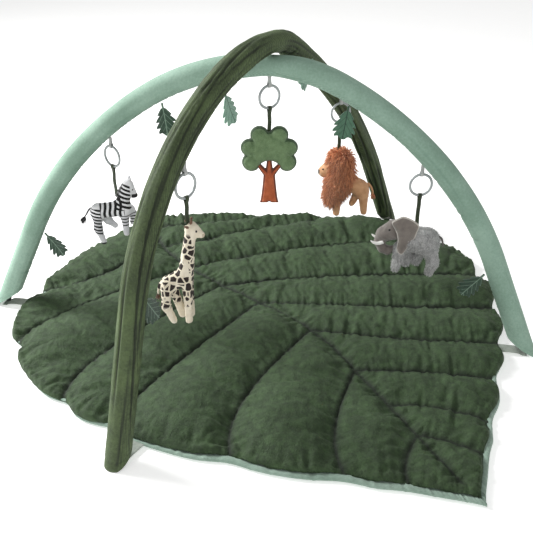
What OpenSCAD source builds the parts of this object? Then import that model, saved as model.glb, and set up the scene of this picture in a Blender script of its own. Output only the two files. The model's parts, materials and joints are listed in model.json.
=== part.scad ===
// Leaf play gym: a quilted leaf-shaped floor mat, two crossing padded arches,
// five hanging toys and seven felt leaves. Millimetres, +Z up, floor at Z = 0.
// The arches cross above the origin and the leaf's tip points along -Y.

/* [Mat] */
// Length of the mat from the stem notch to the tip
leaf_length = 1160; // [950:5:1400]
// Greatest width of the mat
leaf_width = 1040; // [850:5:1250]
// Distance from the arch crossing back to the stem notch
leaf_base_y = 600; // [450:5:700]
// Sideways place of the middle of the mat
leaf_middle_x = 32; // [0:1:60]
// How far the tip swings sideways from the middle
tip_swing = 51; // [0:1:80]
// How far the stem end swings sideways from the middle
base_swing = 92; // [0:1:120]
// Share of the length at which the mat is widest
widest_at = 0.40; // [0.30:0.01:0.50]
// Thickness of the backing cloth
backing_t = 2.4; // [1.5:0.1:4]
// Loft of the batting
batting_t = 23; // [12:0.5:40]
// Thickness of the quilted top cloth
top_t = 2; // [1:0.1:4]
// Band of backing that shows around the quilted top
backing_margin = 12; // [4:1:30]
// Depth of the stitched channels in the quilted top
seam_depth = 1.2; // [0.5:0.1:1.8]
// Width of the stitched channels
seam_w = 4; // [2:0.5:8]
// Depth of the bays along the edge between two seams
bay_depth = 9; // [0:1:16]

/* [Arches] */
// Outer diameter of a padded arch
tube_d = 42; // [34:1:55]
// Cloth thickness of an arch cover
cover_t = 1.5; // [1:0.1:3]
// Height of the light arch's centre line at the crossing
light_height = 531; // [420:1:640]
// Clear gap between the two arches where they cross
cross_gap = 2; // [1:0.5:6]
// Share of its thickness that each padded arch gives way where they cross
squeeze = 0.143; // [0:0.001:0.25]
// Half length of the squeezed place
squeeze_len = 35; // [20:1:60]
// Floor gap between the mat's edge and the light arch at its left foot (negative: it overhangs)
left_stand = 25.74; // [-20:0.01:80]
// Floor gap between the mat's edge and the light arch at its right foot
right_stand = 13.87; // [-20:0.01:80]
// Floor gap between the mat's edge and the dark arch at its front foot
front_stand = 28.0; // [-20:0.01:80]
// Floor gap between the mat's edge and the dark arch at its back foot (negative: it overhangs)
back_stand = -7.63; // [-20:0.01:80]
// Direction of the light arch seen from above, in degrees
light_turn = -35.1; // [-45:0.1:-25]
// Direction of the dark arch seen from above, in degrees
dark_turn = 32.8; // [25:0.1:45]
// Rod diameter
rod_d = 8; // [6:0.5:10]
// Ferrule wall
ferrule_t = 1.4; // [1:0.1:2]
// Half length of the ferrule that joins two rod halves
ferrule_half = 40; // [25:1:60]
// Rise of the sleeve mouth at a foot, in degrees
mouth_rise = 32; // [15:1:45]
// Wall of a rod cap
cap_t = 2; // [1:0.1:3]

/* [Straps and rings] */
// How far round the dark sleeve the giraffe's loop comes out, in degrees
giraffe_twist = 28; // [0:1:60]
// How far round the dark sleeve the lion's loop comes out, in degrees
lion_twist = 72; // [30:1:80]
// Width of a foot strap
strap_w = 26; // [18:1:36]
// Thickness of a foot strap
strap_t = 2; // [1:0.1:3]
// Outer diameter of a link ring
ring_od = 44; // [36:1:60]
// Wire diameter of a link ring
ring_wire = 4.6; // [3.5:0.1:6]
// Drop from the arch to the top of a ring
loop_drop = 14; // [8:1:24]
// Width of a hanging loop and of a toy ribbon
band_w = 7; // [5:0.5:10]
// Thickness of a hanging loop and of a toy ribbon
band_t = 1.3; // [0.8:0.1:2]
// Length of the zebra's ribbon below its ring
zebra_ribbon = 60; // [50:1:80]
// Length of the tree's ribbon below its ring
tree_ribbon = 48; // [40:1:70]
// Length of the elephant's ribbon below its ring
elephant_ribbon = 68; // [60:1:90]
// Length of the giraffe's ribbon below its ring
giraffe_ribbon = 46; // [40:1:70]
// Length of the lion's ribbon below its ring
lion_ribbon = 60; // [50:1:90]
// Running clearance around a ring's wire
eye_gap = 0.6; // [0.5:0.05:1]

/* [Felt leaves] */
// Length of a felt leaf
felt_len = 62; // [45:1:80]
// Width of a felt leaf
felt_w = 40; // [28:1:52]
// Thickness of a felt leaf
felt_t = 2.6; // [1.5:0.1:4]
// Gap between a leaf's stem and the arch
felt_gap = 2.4; // [1.6:0.1:4]

/* [Toys] */
// Overall size of the toys
toy_size = 1; // [0.85:0.05:1.15]
// Thickness of the tree's crown
crown_t = 24; // [14:1:32]
// Thickness of the tree's trunk
trunk_t = 17; // [10:1:24]

/* [Output] */
// Piece to show

/* [Hidden] */
$fn = 64;
soft_fn = 14;
tube_r = tube_d / 2;
fit = 0.3;
rod_r = rod_d / 2;
dark_height = light_height + tube_d * (1 - squeeze) + cross_gap;
ring_r = (ring_od - ring_wire) / 2;
wire_r = ring_wire / 2;
eye_r = wire_r + eye_gap;

forest = [0.16, 0.26, 0.17];
olive = [0.24, 0.31, 0.18];
sage = [0.47, 0.60, 0.50];
rust = [0.68, 0.30, 0.16];
cream = [0.90, 0.86, 0.76];

// ---- reach of the feet --------------------------------------------------
// Each foot stands outside the mat: the reach from the crossing is the distance
// to the mat's edge along the arch, a named stand-off and the tube's own radius.
function covers(p) = let (v = (leaf_base_y - p[1]) / leaf_length)
  v > 0 && v < 1 && abs(p[0] - mid_x(v)) < belly(v) * leaf_width / 2;
function edge_along(d, lo = 0, hi = 1200, n = 26) =
  n == 0 ? lo : let (m = (lo + hi) / 2) covers(m * d) ? edge_along(d, m, hi, n - 1) : edge_along(d, lo, m, n - 1);
function reach_to(turn, first, stand) =
  edge_along((first ? -1 : 1) * [cos(turn), sin(turn)]) + stand + tube_r;
light_left_reach = reach_to(light_turn, true, left_stand);
light_right_reach = reach_to(light_turn, false, right_stand);
dark_front_reach = reach_to(dark_turn, true, front_stand);
dark_back_reach = reach_to(dark_turn, false, back_stand);

// ---- arch geometry ------------------------------------------------------
// One half of an arch runs from a foot at x = 0 to the crossing at x = reach:
// a straight leg, a wide arc and a tighter arc that ends level at the top.
function lean(reach, h, steep) = atan(steep * h / reach);
function half(reach, h, steep, share, leg_part) =
  let (a = lean(reach, h, steep), b = a * share, leg = leg_part * norm([reach, h]),
       m11 = sin(a) - sin(b), m12 = sin(b), m21 = cos(b) - cos(a), m22 = 1 - cos(b),
       px = reach - leg * cos(a), pz = h - leg * sin(a), det = m11 * m22 - m12 * m21)
  [reach, h, a, b, leg, (px * m22 - m12 * pz) / det, (m11 * pz - m21 * px) / det];
light_left = half(light_left_reach, light_height, 2.17, 0.49, 0.263);
light_right = half(light_right_reach, light_height, 2.145, 0.40, 0.287);
dark_front = half(dark_front_reach, dark_height, 2.96, 0.29, 0.37);
dark_back = half(dark_back_reach, dark_height, 1.57, 0.52, 0.24);

// Centres of the wide arc and of the tight arc of a half
function wide_c(g) = [g[4] * cos(g[2]) + g[5] * sin(g[2]), g[4] * sin(g[2]) - g[5] * cos(g[2])];
function tight_c(g) = [g[0], g[1] - g[6]];

// Point of the arch's inner surface at distance x from the foot: [x, height, slope]
function under(g, x, r = tube_r) =
  let (rt = g[6] - r, rw = g[5] - r, ct = tight_c(g), cw = wide_c(g),
       st = (ct[0] - x) / rt, sw = (cw[0] - x) / rw)
  abs(st) <= sin(g[3]) ? [x, ct[1] + rt * cos(asin(st)), asin(st)]
  : abs(sw) <= sin(g[2]) ? [x, cw[1] + rw * cos(asin(sw)), asin(sw)]
  : [x, (x - r * sin(g[2])) * tan(g[2]) - r * cos(g[2]), g[2]];

// Stations along one half, foot to top: [x, height, slope, outer radius, inner radius, mouth]
// The leg starts start millimetres up; the tight arc stops gap short of the top.
// Over the ferrule the inner radius may be wide. All tubes share the same stations.
n_wide = 7;
n_tight = 4;
function leg_at(g, s, ro, ri, mouth = 0) = [s * cos(g[2]), s * sin(g[2]), g[2], ro, ri, mouth, 1];
function give(d) = 1 - squeeze * exp(-pow(d / squeeze_len, 2));
function arc_at(c, r, f, ro, ri) = [c[0] - r * sin(f), c[1] + r * cos(f), f, ro, ri, 0, give(f * PI / 180 * r)];
function top_share(g) = (ferrule_half + 1) / g[6] * 180 / PI;
function stations(g, ro, ri, start = 0, gap = 0, wide = 0, mouth = 0) =
  let (e = gap / g[6] * 180 / PI, w = top_share(g), cw = wide_c(g), ct = tight_c(g))
  concat([leg_at(g, start, ro, ri, mouth), leg_at(g, max(start, 60) + 1, ro, ri)],
    [for (i = [0:n_wide]) arc_at(cw, g[5], g[2] + (g[3] - g[2]) * i / n_wide, ro, ri)],
    [for (i = [1:n_tight]) arc_at(ct, g[6], g[3] + (w - g[3]) * i / n_tight, ro, ri)],
    wide > 0 ? [arc_at(ct, g[6], w - 0.1, ro, wide)] : [],
    [for (i = [1:2]) arc_at(ct, g[6], max(e, w * (1 - i / 2)), ro, wide > 0 ? wide : ri)]);
function top_stations(g, ro, ri, length) = let (w = length / g[6] * 180 / PI)
  [for (f = [w, top_share(g) / 2, 0]) arc_at(tight_c(g), g[6], f, ro, ri)];

// The first half keeps its course, measured from the crossing; the second is turned round
function as_first(g, p) = [for (q = p) [q[0] - g[0], q[1], q[2], q[3], q[4], q[5], q[6]]];
function as_second(g, p) = [for (i = [len(p) - 1:-1:0]) [g[0] - p[i][0], p[i][1], -p[i][2], p[i][3], p[i][4], p[i][5], p[i][6]]];
function whole(g1, p1, g2, p2) = let (b = as_second(g2, p2)) concat(as_first(g1, p1), [for (i = [1:len(b) - 1]) b[i]]);

// Shift along the leg that brings a wall line onto the slanting sleeve mouth and the floor
function mouth_shift(q, x, z) =
  let (s = q[2] > 0 ? 1 : -1, a = abs(q[2]), foot_x = q[0] - s * (q[1] / tan(a)),
       h = s * (x - foot_x), low = -z / sin(a), edge = -tube_r / sin(a) + 6)
  max(low, ((h - edge) * tan(mouth_rise) - z) / (sin(a) - cos(a) * tan(mouth_rise)));
function ring_pts(q, r, n) = [for (j = [0:n - 1])
  let (t = 360 * j / n, h = r * cos(t) * (r > sleeve_r + 1 ? q[6] : 1),
       x = q[0] - h * sin(q[2]), z = q[1] + h * cos(q[2]),
       d = q[5] > 0 ? mouth_shift(q, x, z) : 0, s = q[2] > 0 ? 1 : -1)
  [x + s * d * cos(abs(q[2])), r * sin(t), z + d * sin(abs(q[2]))]];

// Closed tube wall swept along stations with n sides
module sweep(p, n) {
  m = len(p);
  hollow = p[0][4] > 0;
  outer = [for (q = p) each ring_pts(q, q[3], n)];
  inner = hollow ? [for (q = p) each ring_pts(q, q[4], n)] : [];
  k = m * n;
  skin = [for (i = [0:m - 2], j = [0:n - 1]) let (a = i * n + j, b = i * n + (j + 1) % n)
    each [[a, b, b + n], [a, b + n, a + n]]];
  bore = hollow ? [for (i = [0:m - 2], j = [0:n - 1]) let (a = k + i * n + j, b = k + i * n + (j + 1) % n)
    each [[b, a, b + n], [b + n, a, a + n]]] : [];
  ends = hollow ? [for (j = [0:n - 1]) let (b = (j + 1) % n, e = (m - 1) * n)
    each [[b, j, k + j], [b, k + j, k + b], [e + j, e + b, k + e + j], [k + e + j, e + b, k + e + b]]]
    : [[for (j = [n - 1:-1:0]) j], [for (j = [0:n - 1]) (m - 1) * n + j]];
  polyhedron(points = concat(outer, inner), faces = concat(skin, bore, ends));
}
cover_n = 24;
foam_n = 16;
rod_n = 8;
module cover_of(g1, g2) sweep(whole(
  g1, stations(g1, tube_r, tube_r - cover_t, mouth = 1),
  g2, stations(g2, tube_r, tube_r - cover_t, mouth = 1)), cover_n);
foam_r = (tube_r - cover_t) * cos(180 / cover_n) - fit;
sleeve_r = rod_r + ferrule_t + 0.1;
module foam_of(g1, g2) sweep(whole(
  g1, stations(g1, foam_r, rod_r + fit, 36, 0, sleeve_r + fit),
  g2, stations(g2, foam_r, rod_r + fit, 36, 0, sleeve_r + fit)), foam_n);
module ferrule_of(g1, g2) sweep(whole(
  g1, top_stations(g1, sleeve_r, rod_r + 0.1, ferrule_half),
  g2, top_stations(g2, sleeve_r, rod_r + 0.1, ferrule_half)), foam_n);
module first_rod(g) sweep(as_first(g, stations(g, rod_r, 0, 10 + cap_t, 0.25)), foam_n);
module second_rod(g) sweep(as_second(g, stations(g, rod_r, 0, 10 + cap_t, 0.25)), foam_n);
module first_side(g, turn) rotate([0, 0, turn]) translate([-g[0], 0, 0]) children();
module second_side(g, turn) rotate([0, 0, turn]) mirror([1, 0, 0]) translate([-g[0], 0, 0]) children();
module cap_at(g) {
  rotate([0, 90 - g[2], 0]) translate([0, 0, 10]) difference() {
    cylinder(r = rod_r + cap_t, h = 18);
    translate([0, 0, cap_t]) cylinder(r = rod_r + 0.1, h = 18);
  }
}

// ---- mat geometry -------------------------------------------------------
N_edge = 48;
n_bays = 9;
function belly(v) = v < widest_at ? 1 - pow((widest_at - v) / widest_at, 2.2)
  : pow(1 - pow((v - widest_at) / (1 - widest_at), 2.2), 1.2);
function mid_x(v) = leaf_middle_x + tip_swing * pow(max(0, (v - 0.6) / 0.4), 1.6)
  - base_swing * pow(max(0, 1 - v / 0.3), 2);
function vein_x(v) = let (t = min(1, max(0, (v - 0.2) / 0.45)))
  mid_x(0) - 26 + (mid_x(1) - mid_x(0) + 22) * t * t * (3 - 2 * t);
function y_at(v) = leaf_base_y - v * leaf_length;
// Share of the length at which seam k leaves the midrib and meets each edge
function seam_v(k) = 0.07 + 0.10 * k;
function end_v(k, side) = seam_v(k) + (1 - seam_v(k)) * (side > 0 ? 0.085 + 0.065 * k : 0.02 + 0.115 * k);
// Bays bulge between the seams and pinch in where a seam reaches the edge
function bay(v, side) =
  let (t = [for (k = [0:n_bays - 2]) if (v >= end_v(k, side) && v < end_v(k + 1, side))
    (v - end_v(k, side)) / (end_v(k + 1, side) - end_v(k, side))])
  len(t) == 0 ? 0 : bay_depth * (sin(180 * t[0]) - 1);
function edge_pt(v, side, inset) =
  let (w = belly(v) * (leaf_width / 2 - inset) + bay(v, side) * min(1, 4 * belly(v)) * belly(v))
  [mid_x(v) + side * w, y_at(v) + inset * 1.6 * (2 * v - 1)];
function step_v(i) = (1 - cos(180 * i / N_edge)) / 2;
function leaf_outline(inset) = concat(
  [for (i = [0:N_edge]) edge_pt(step_v(i), 1, inset)],
  [for (i = [N_edge - 1:-1:1]) edge_pt(step_v(i), -1, inset)]);
module leaf_slab(inset, z0, z1) {
  translate([0, 0, z0]) linear_extrude(z1 - z0) polygon(leaf_outline(inset));
}
// Course of seam k from the midrib to the edge
function seam_pt(k, side, t) =
  let (v0 = seam_v(k), v1 = end_v(k, side), e = edge_pt(v1, side, backing_margin + 34),
       v = v0 + (v1 - v0) * pow(t, 1.4))
  [vein_x(v0) + (e[0] - vein_x(v0)) * t, y_at(v)];
module seam_path(pts) {
  for (i = [0:len(pts) - 2]) {
    d = pts[i + 1] - pts[i];
    translate(pts[i]) rotate([0, 0, atan2(d[1], d[0])]) translate([-1, -seam_w / 2])
      square([norm(d) + 2, seam_w]);
  }
}

mat_z1 = backing_t + fit;
mat_z2 = mat_z1 + batting_t;
mat_z3 = mat_z2 + fit + top_t;

module mat_backing() color(sage) leaf_slab(0, 0, backing_t);
module mat_batting() color([0.93, 0.93, 0.90]) {
  leaf_slab(backing_margin + top_t + 1, mat_z1, mat_z1 + batting_t * 0.55);
  leaf_slab(backing_margin + top_t + 12, mat_z1 + batting_t * 0.55, mat_z2);
}
module mat_top() color(forest) difference() {
  union() {
    leaf_slab(backing_margin, mat_z1, mat_z1 + batting_t * 0.55 + top_t);
    leaf_slab(backing_margin + 11, mat_z1 + batting_t * 0.55, mat_z3);
  }
  leaf_slab(backing_margin + top_t + 0.7, mat_z1 - 1, mat_z1 + batting_t * 0.55 + fit);
  leaf_slab(backing_margin + top_t + 11.7, mat_z1 + batting_t * 0.5, mat_z2 + fit);
  translate([0, 0, mat_z3 - seam_depth]) linear_extrude(top_t + 1) union() {
    seam_path([for (i = [1:6]) [vein_x(i * 0.16), y_at(i * 0.16)]]);
    for (k = [1:n_bays - 1], s = [-1, 1]) seam_path([for (t = [0:0.5:1]) seam_pt(k, s, t)]);
  }
}

// Foot straps: sewn on the backing's margin, tucked into a sleeve mouth.
// The strap starts where the leg's own direction meets the mat's edge.
function foot_xy(reach, turn, first) = (first ? -reach : reach) * [cos(turn), sin(turn)];
foot_left = foot_xy(light_left_reach, light_turn, true);
foot_right = foot_xy(light_right_reach, light_turn, false);
foot_front = foot_xy(dark_front_reach, dark_turn, true);
foot_back = foot_xy(dark_back_reach, dark_turn, false);
module strap_to(foot) {
  a = atan2(foot[1], foot[0]);
  d = norm(foot);
  color([0.80, 0.81, 0.78]) difference() {
    translate([0, 0, mat_z1]) rotate([0, 0, a]) translate([d - 120, -strap_w / 2, 0])
      cube([120 + rod_r, strap_w, strap_t]);
    leaf_slab(backing_margin - 0.4, mat_z1 - 1, mat_z1 + strap_t + 1);
  }
}
module strap_left() strap_to(foot_left);
module strap_right() strap_to(foot_right);
module strap_front() strap_to(foot_front);
module strap_back() strap_to(foot_back);

module light_cover() color(sage) rotate([0, 0, light_turn]) cover_of(light_left, light_right);
module light_foam() color([0.92, 0.92, 0.90]) rotate([0, 0, light_turn]) foam_of(light_left, light_right);
module light_rod_left() color([0.75, 0.76, 0.74]) rotate([0, 0, light_turn]) first_rod(light_left);
module light_rod_right() color([0.75, 0.76, 0.74]) rotate([0, 0, light_turn]) second_rod(light_right);
module light_ferrule() color([0.62, 0.63, 0.65]) rotate([0, 0, light_turn]) ferrule_of(light_left, light_right);
module light_rod_caps() color([0.20, 0.20, 0.20]) {
  first_side(light_left, light_turn) cap_at(light_left);
  second_side(light_right, light_turn) cap_at(light_right);
}
module dark_cover() color(olive) rotate([0, 0, dark_turn]) cover_of(dark_front, dark_back);
module dark_foam() color([0.92, 0.92, 0.90]) rotate([0, 0, dark_turn]) foam_of(dark_front, dark_back);
module dark_rod_front() color([0.75, 0.76, 0.74]) rotate([0, 0, dark_turn]) first_rod(dark_front);
module dark_rod_back() color([0.75, 0.76, 0.74]) rotate([0, 0, dark_turn]) second_rod(dark_back);
module dark_ferrule() color([0.62, 0.63, 0.65]) rotate([0, 0, dark_turn]) ferrule_of(dark_front, dark_back);
module dark_rod_caps() color([0.20, 0.20, 0.20]) {
  first_side(dark_front, dark_turn) cap_at(dark_front);
  second_side(dark_back, dark_turn) cap_at(dark_back);
}

// ---- hanging points -----------------------------------------------------
// [x, y, height] of the arch's inner surface, x millimetres from a foot
function hang(g, turn, first, x) =
  let (u = under(g, x), s = (first ? -1 : 1) * (g[0] - x))
  [s * cos(turn), s * sin(turn), u[1] + tube_r * (1 - give(s))];
// The same for a sleeve whose loop comes out round its side, twist degrees from the inner line
function hang_beside(g, turn, first, x, twist) =
  let (c = under(g, x, 0), s = (first ? -1 : 1) * (g[0] - x - tube_r * sin(c[2]) * cos(twist)), d = tube_r * sin(twist))
  [s * cos(turn) + d * sin(turn), s * sin(turn) - d * cos(turn), c[1] - tube_r * cos(c[2]) * cos(twist)];
at_zebra = hang(light_left, light_turn, true, light_left_reach - 301);
at_tree = hang(light_left, light_turn, true, light_left_reach - 2);
at_elephant = hang(light_right, light_turn, false, light_right_reach - 270);
at_giraffe = hang_beside(dark_front, dark_turn, true, dark_front_reach - 272, giraffe_twist);
at_lion = hang_beside(dark_back, dark_turn, false, dark_back_reach - 240, lion_twist);
// Which way each ring and each toy faces, in degrees about the vertical
turn_zebra = -62;
turn_tree = 4;
turn_elephant = -18;
turn_giraffe = 22;
turn_lion = -8;
face_zebra = -12;
face_tree = -25;
face_elephant = -36;
face_giraffe = -20;
face_lion = -32;

module hung(at, turn, drop = 0) translate([at[0], at[1], at[2] - drop]) rotate([0, 0, turn]) children();
wire_top = loop_drop + wire_r;
wire_low = wire_top + 2 * ring_r;

// A band around the ring's wire with two plies running up or down
module eye_band(up, reach) {
  rotate([0, 90, 0]) difference() {
    cylinder(r = eye_r + band_t, h = band_w, center = true);
    cylinder(r = eye_r, h = band_w + 2, center = true);
  }
  if (up) translate([-band_w / 2, -band_t, eye_r + band_t / 2]) cube([band_w, 2 * band_t, reach - eye_r - band_t / 2]);
  else translate([-band_w / 2, -band_t, -reach]) cube([band_w, 2 * band_t, reach - eye_r - band_t / 2]);
}
module hang_loop(at, turn) color([0.80, 0.81, 0.79]) hung(at, turn, wire_top) eye_band(true, wire_top + 1);
module link_ring(at, turn) color([0.72, 0.74, 0.74]) hung(at, turn, wire_top + ring_r)
  rotate([90, 0, 0]) rotate_extrude() translate([ring_r, 0]) circle(r = wire_r);
module ribbon(at, turn, reach) color([0.10, 0.20, 0.10]) hung(at, turn, wire_low) eye_band(false, reach);
module loop_zebra() hang_loop(at_zebra, turn_zebra);
module loop_tree() hang_loop(at_tree, turn_tree);
module loop_elephant() hang_loop(at_elephant, turn_elephant);
module loop_giraffe() hang_loop(at_giraffe, turn_giraffe);
module loop_lion() hang_loop(at_lion, turn_lion);
module ring_zebra() link_ring(at_zebra, turn_zebra);
module ring_tree() link_ring(at_tree, turn_tree);
module ring_elephant() link_ring(at_elephant, turn_elephant);
module ring_giraffe() link_ring(at_giraffe, turn_giraffe);
module ring_lion() link_ring(at_lion, turn_lion);
module ribbon_zebra() ribbon(at_zebra, turn_zebra, zebra_ribbon);
module ribbon_tree() ribbon(at_tree, turn_tree, tree_ribbon);
module ribbon_elephant() ribbon(at_elephant, turn_elephant, elephant_ribbon);
module ribbon_giraffe() ribbon(at_giraffe, turn_giraffe, giraffe_ribbon);
module ribbon_lion() ribbon(at_lion, turn_lion, lion_ribbon);

// ---- felt leaves --------------------------------------------------------
// Lobed oak-leaf outline: the half width swells and pinches along the length
function lobe_w(t) = felt_w / 2 * pow(sin(180 * pow(t, 0.85)), 0.7) * (0.70 + 0.30 * sin(360 * 3.5 * t - 60));
function felt_side(i) = [max(2.2, lobe_w(i / 28)), -10 - i / 28 * (felt_len - 10)];
function felt_outline() = concat(
  [[2, -felt_gap], [2, -9]], [for (i = [0:28]) felt_side(i)],
  [for (i = [28:-1:0]) [-felt_side(i)[0], felt_side(i)[1]]], [[-2, -9], [-2, -felt_gap]]);
module felt_leaf(shade) {
  color(shade) translate([0, felt_t / 2, 0]) rotate([90, 0, 0]) linear_extrude(felt_t) polygon(felt_outline());
}
module leaf_at(at, turn, tilt, shade) hung(at, turn) rotate([0, tilt, 0]) felt_leaf(shade);
dark_felt = [0.11, 0.22, 0.15];
mid_felt = [0.18, 0.36, 0.26];
mint_felt = [0.42, 0.62, 0.50];
at_leaf_ll = hang(light_left, light_turn, true, light_left_reach - 464);
at_leaf_lh = hang(light_left, light_turn, true, light_left_reach - 197);
at_leaf_rh = hang(light_right, light_turn, false, light_right_reach - 136);
at_leaf_rl = hang(light_right, light_turn, false, light_right_reach - 404);
at_leaf_fl = hang(dark_front, dark_turn, true, dark_front_reach - 364);
at_leaf_fh = hang(dark_front, dark_turn, true, dark_front_reach - 138);
// This leaf is sewn on the side of its sleeve and hangs clear of it
at_leaf_bh = hang_beside(dark_back, dark_turn, false, dark_back_reach - 106, 84)
  + (felt_gap + felt_t / 2) * [sin(dark_turn), -cos(dark_turn), 0];
module leaf_left_low() leaf_at(at_leaf_ll, light_turn, -38, dark_felt);
module leaf_left_high() leaf_at(at_leaf_lh, light_turn, -8, dark_felt);
module leaf_right_high() leaf_at(at_leaf_rh, light_turn, 8, mid_felt);
module leaf_right_low() leaf_at(at_leaf_rl, light_turn, 38, dark_felt);
module leaf_front_low() leaf_at(at_leaf_fl, dark_turn, -30, dark_felt);
module leaf_front_high() leaf_at(at_leaf_fh, dark_turn, -24, mint_felt);
module leaf_back_high() leaf_at(at_leaf_bh, dark_turn, 20, mint_felt);

// ---- toys ---------------------------------------------------------------
// A toy is drawn with its head along +X or -X, its near side along -Y and
// z = 0 at the ring's lower wire.
module toy(at, turn) hung(at, turn, wire_low) scale(toy_size) children();
module ball(p) translate([p[0], p[1], p[2]]) sphere(r = p[3], $fn = soft_fn);
module limb(p, q) hull() { ball(p); ball(q); }
module bent(p, q, r) hull() { ball(p); ball(q); ball(r); }

module zebra_form() {
  limb([-37, 0, -88, 16], [14, 0, -88, 15.5]);
  limb([8, 0, -78, 14.5], [21, 0, -44, 10]);
  limb([26, 0, -42, 9.5], [34, 0, -62, 7]);
  bent([-40, -7, -98, 10], [-41, -9, -124, 7.5], [-33, -9, -151, 6.5]);
  bent([-30, 7, -98, 9.5], [-21, 9, -113, 7.5], [-8, 10, -126, 6.5]);
  limb([12, -7, -98, 9], [12, -8, -138, 6.5]);
  bent([26, 6, -94, 9], [31, 8, -110, 7.5], [27, 8, -122, 6.5]);
}
module zebra_body() color([0.88, 0.88, 0.88]) toy(at_zebra, face_zebra) zebra_form();
module zebra_mane() color([0.08, 0.08, 0.08]) toy(at_zebra, face_zebra) difference() {
  hull() {
    translate([18, 0, -36]) rotate([90, 0, 0]) cylinder(r = 6, h = 5, center = true);
    translate([-1, 0, -66]) rotate([90, 0, 0]) cylinder(r = 8, h = 5, center = true);
  }
  zebra_form();
}
module zebra_tail() color([0.08, 0.08, 0.08]) toy(at_zebra, face_zebra) difference() {
  union() {
    limb([-47, 0, -80, 2.5], [-63, 0, -98, 2]);
    limb([-63, 0, -98, 2.5], [-71, 0, -108, 4.5]);
  }
  zebra_form();
}
module bead_eyes(p, gap, r) {
  for (s = [-1, 1]) translate([p[0], s * gap, p[1]]) rotate([90, 0, 0]) cylinder(r = r, h = 2, center = true);
}
module zebra_eyes() color([0.03, 0.03, 0.03]) toy(at_zebra, face_zebra) bead_eyes([31, -49], 8.6, 1.8);

module giraffe_form() {
  limb([6, 0, -50, 10], [19, 0, -63, 6.5]);
  limb([4, 0, -56, 9], [-6, 0, -122, 13]);
  limb([-9, 0, -136, 15], [-36, 0, -149, 14.5]);
  bent([-40, -7, -158, 9.5], [-42, -8, -185, 7.5], [-31, -9, -213, 6.5]);
  limb([-30, 8, -158, 9], [-17, 9, -213, 6.5]);
  limb([-7, -7, -152, 9], [-6, -9, -214, 6.5]);
  limb([-4, 8, -150, 9], [-2, 9, -213, 6.5]);
}
module giraffe_body() color(cream) toy(at_giraffe, face_giraffe) giraffe_form();
module giraffe_tail() color([0.35, 0.20, 0.12]) toy(at_giraffe, face_giraffe) difference() {
  limb([-49, 0, -146, 2.5], [-56, 0, -172, 3.5]);
  giraffe_form();
}
module giraffe_eyes() color([0.03, 0.03, 0.03]) toy(at_giraffe, face_giraffe) bead_eyes([14, -54], 8.9, 1.8);

// Flat felt tree: round lobes over a forked trunk
module crown_shape() {
  for (s = [-1, 1]) {
    translate([s * 17, -49]) circle(r = 15.5);
    translate([s * 38, -71]) circle(r = 14);
    translate([s * 34, -101]) circle(r = 15);
  }
  translate([0, -76]) circle(r = 32);
}
module tree_crown() color([0.33, 0.46, 0.28]) toy(at_tree, face_tree) difference() {
  translate([0, crown_t / 2, 0]) rotate([90, 0, 0]) linear_extrude(crown_t) difference() {
    crown_shape();
    translate([0, -117]) circle(r = 23);
  }
  translate([0, 40, 0]) rotate([90, 0, 0]) linear_extrude(80) trunk_shape();
}
module trunk_shape() polygon([[-19, -180], [19, -180], [15, -155], [10.5, -124], [24, -106], [19, -99],
  [6, -113], [4, -90], [-4, -90], [-6, -113], [-19, -99], [-24, -106], [-10.5, -124], [-15, -155]]);
module tree_trunk() color(rust) toy(at_tree, face_tree)
  translate([0, trunk_t / 2, 0]) rotate([90, 0, 0]) linear_extrude(trunk_t) trunk_shape();

module lion_form() {
  limb([-12, 0, -98, 20], [-29, 0, -108, 13]);
  limb([0, 0, -118, 20], [50, 0, -141, 19]);
  limb([56, -8, -152, 11], [59, -9, -191, 7.5]);
  limb([44, 8, -154, 10], [33, 10, -181, 7]);
  limb([4, -8, -145, 10], [1, -9, -197, 7.5]);
  limb([-4, 8, -145, 10], [-9, 10, -185, 7]);
}
module lion_body() color([0.75, 0.52, 0.36]) toy(at_lion, face_lion) lion_form();
module mane_form() {
  hull() {
    ball([2, 0, -84, 31]);
    ball([4, 0, -120, 33]);
    ball([-9, 0, -160, 18]);
  }
}
module lion_mane() color(rust) toy(at_lion, face_lion) difference() {
  mane_form();
  lion_form();
}
module lion_tail() color([0.60, 0.34, 0.20]) toy(at_lion, face_lion) difference() {
  union() {
    limb([64, 0, -128, 2.5], [75, 0, -146, 2.5]);
    limb([75, 0, -146, 2.5], [76, 0, -162, 4]);
  }
  lion_form();
}
module lion_eyes() color([0.03, 0.03, 0.03]) toy(at_lion, face_lion) bead_eyes([-31, -101], 12.5, 1.8);

module elephant_form() {
  limb([-8, 0, -86, 23], [20, 0, -88, 25]);
  limb([-26, -9, -104, 12], [-31, -11, -144, 8]);
  limb([-12, 10, -104, 12], [-13, 12, -143, 8]);
  bent([30, -10, -104, 13], [36, -11, -126, 9.5], [31, -11, -146, 8]);
  limb([16, 10, -106, 11], [6, 12, -139, 8]);
  limb([41, 0, -80, 3], [51, 0, -96, 3]);
}
module elephant_body() color([0.50, 0.50, 0.50]) toy(at_elephant, face_elephant) elephant_form();
module head_form() {
  limb([-40, 0, -72, 20], [-54, 0, -80, 16]);
  limb([-62, 0, -84, 10], [-65, 0, -98, 8.5]);
  limb([-65, 0, -98, 8.5], [-57, 0, -112, 7.6]);
  bent([-57, 0, -112, 7.6], [-48, 0, -115, 7], [-38, 0, -110, 6.5]);
}
module elephant_head() color([0.46, 0.42, 0.40]) toy(at_elephant, face_elephant) difference() {
  head_form();
  elephant_form();
}
module ear_shape() polygon([[-42, -49], [-31, -40], [-24, -38], [-9, -41], [2, -50], [1, -62], [-3, -76],
  [-12, -92], [-22, -106], [-31, -101], [-30, -84], [-34, -66]]);
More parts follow.
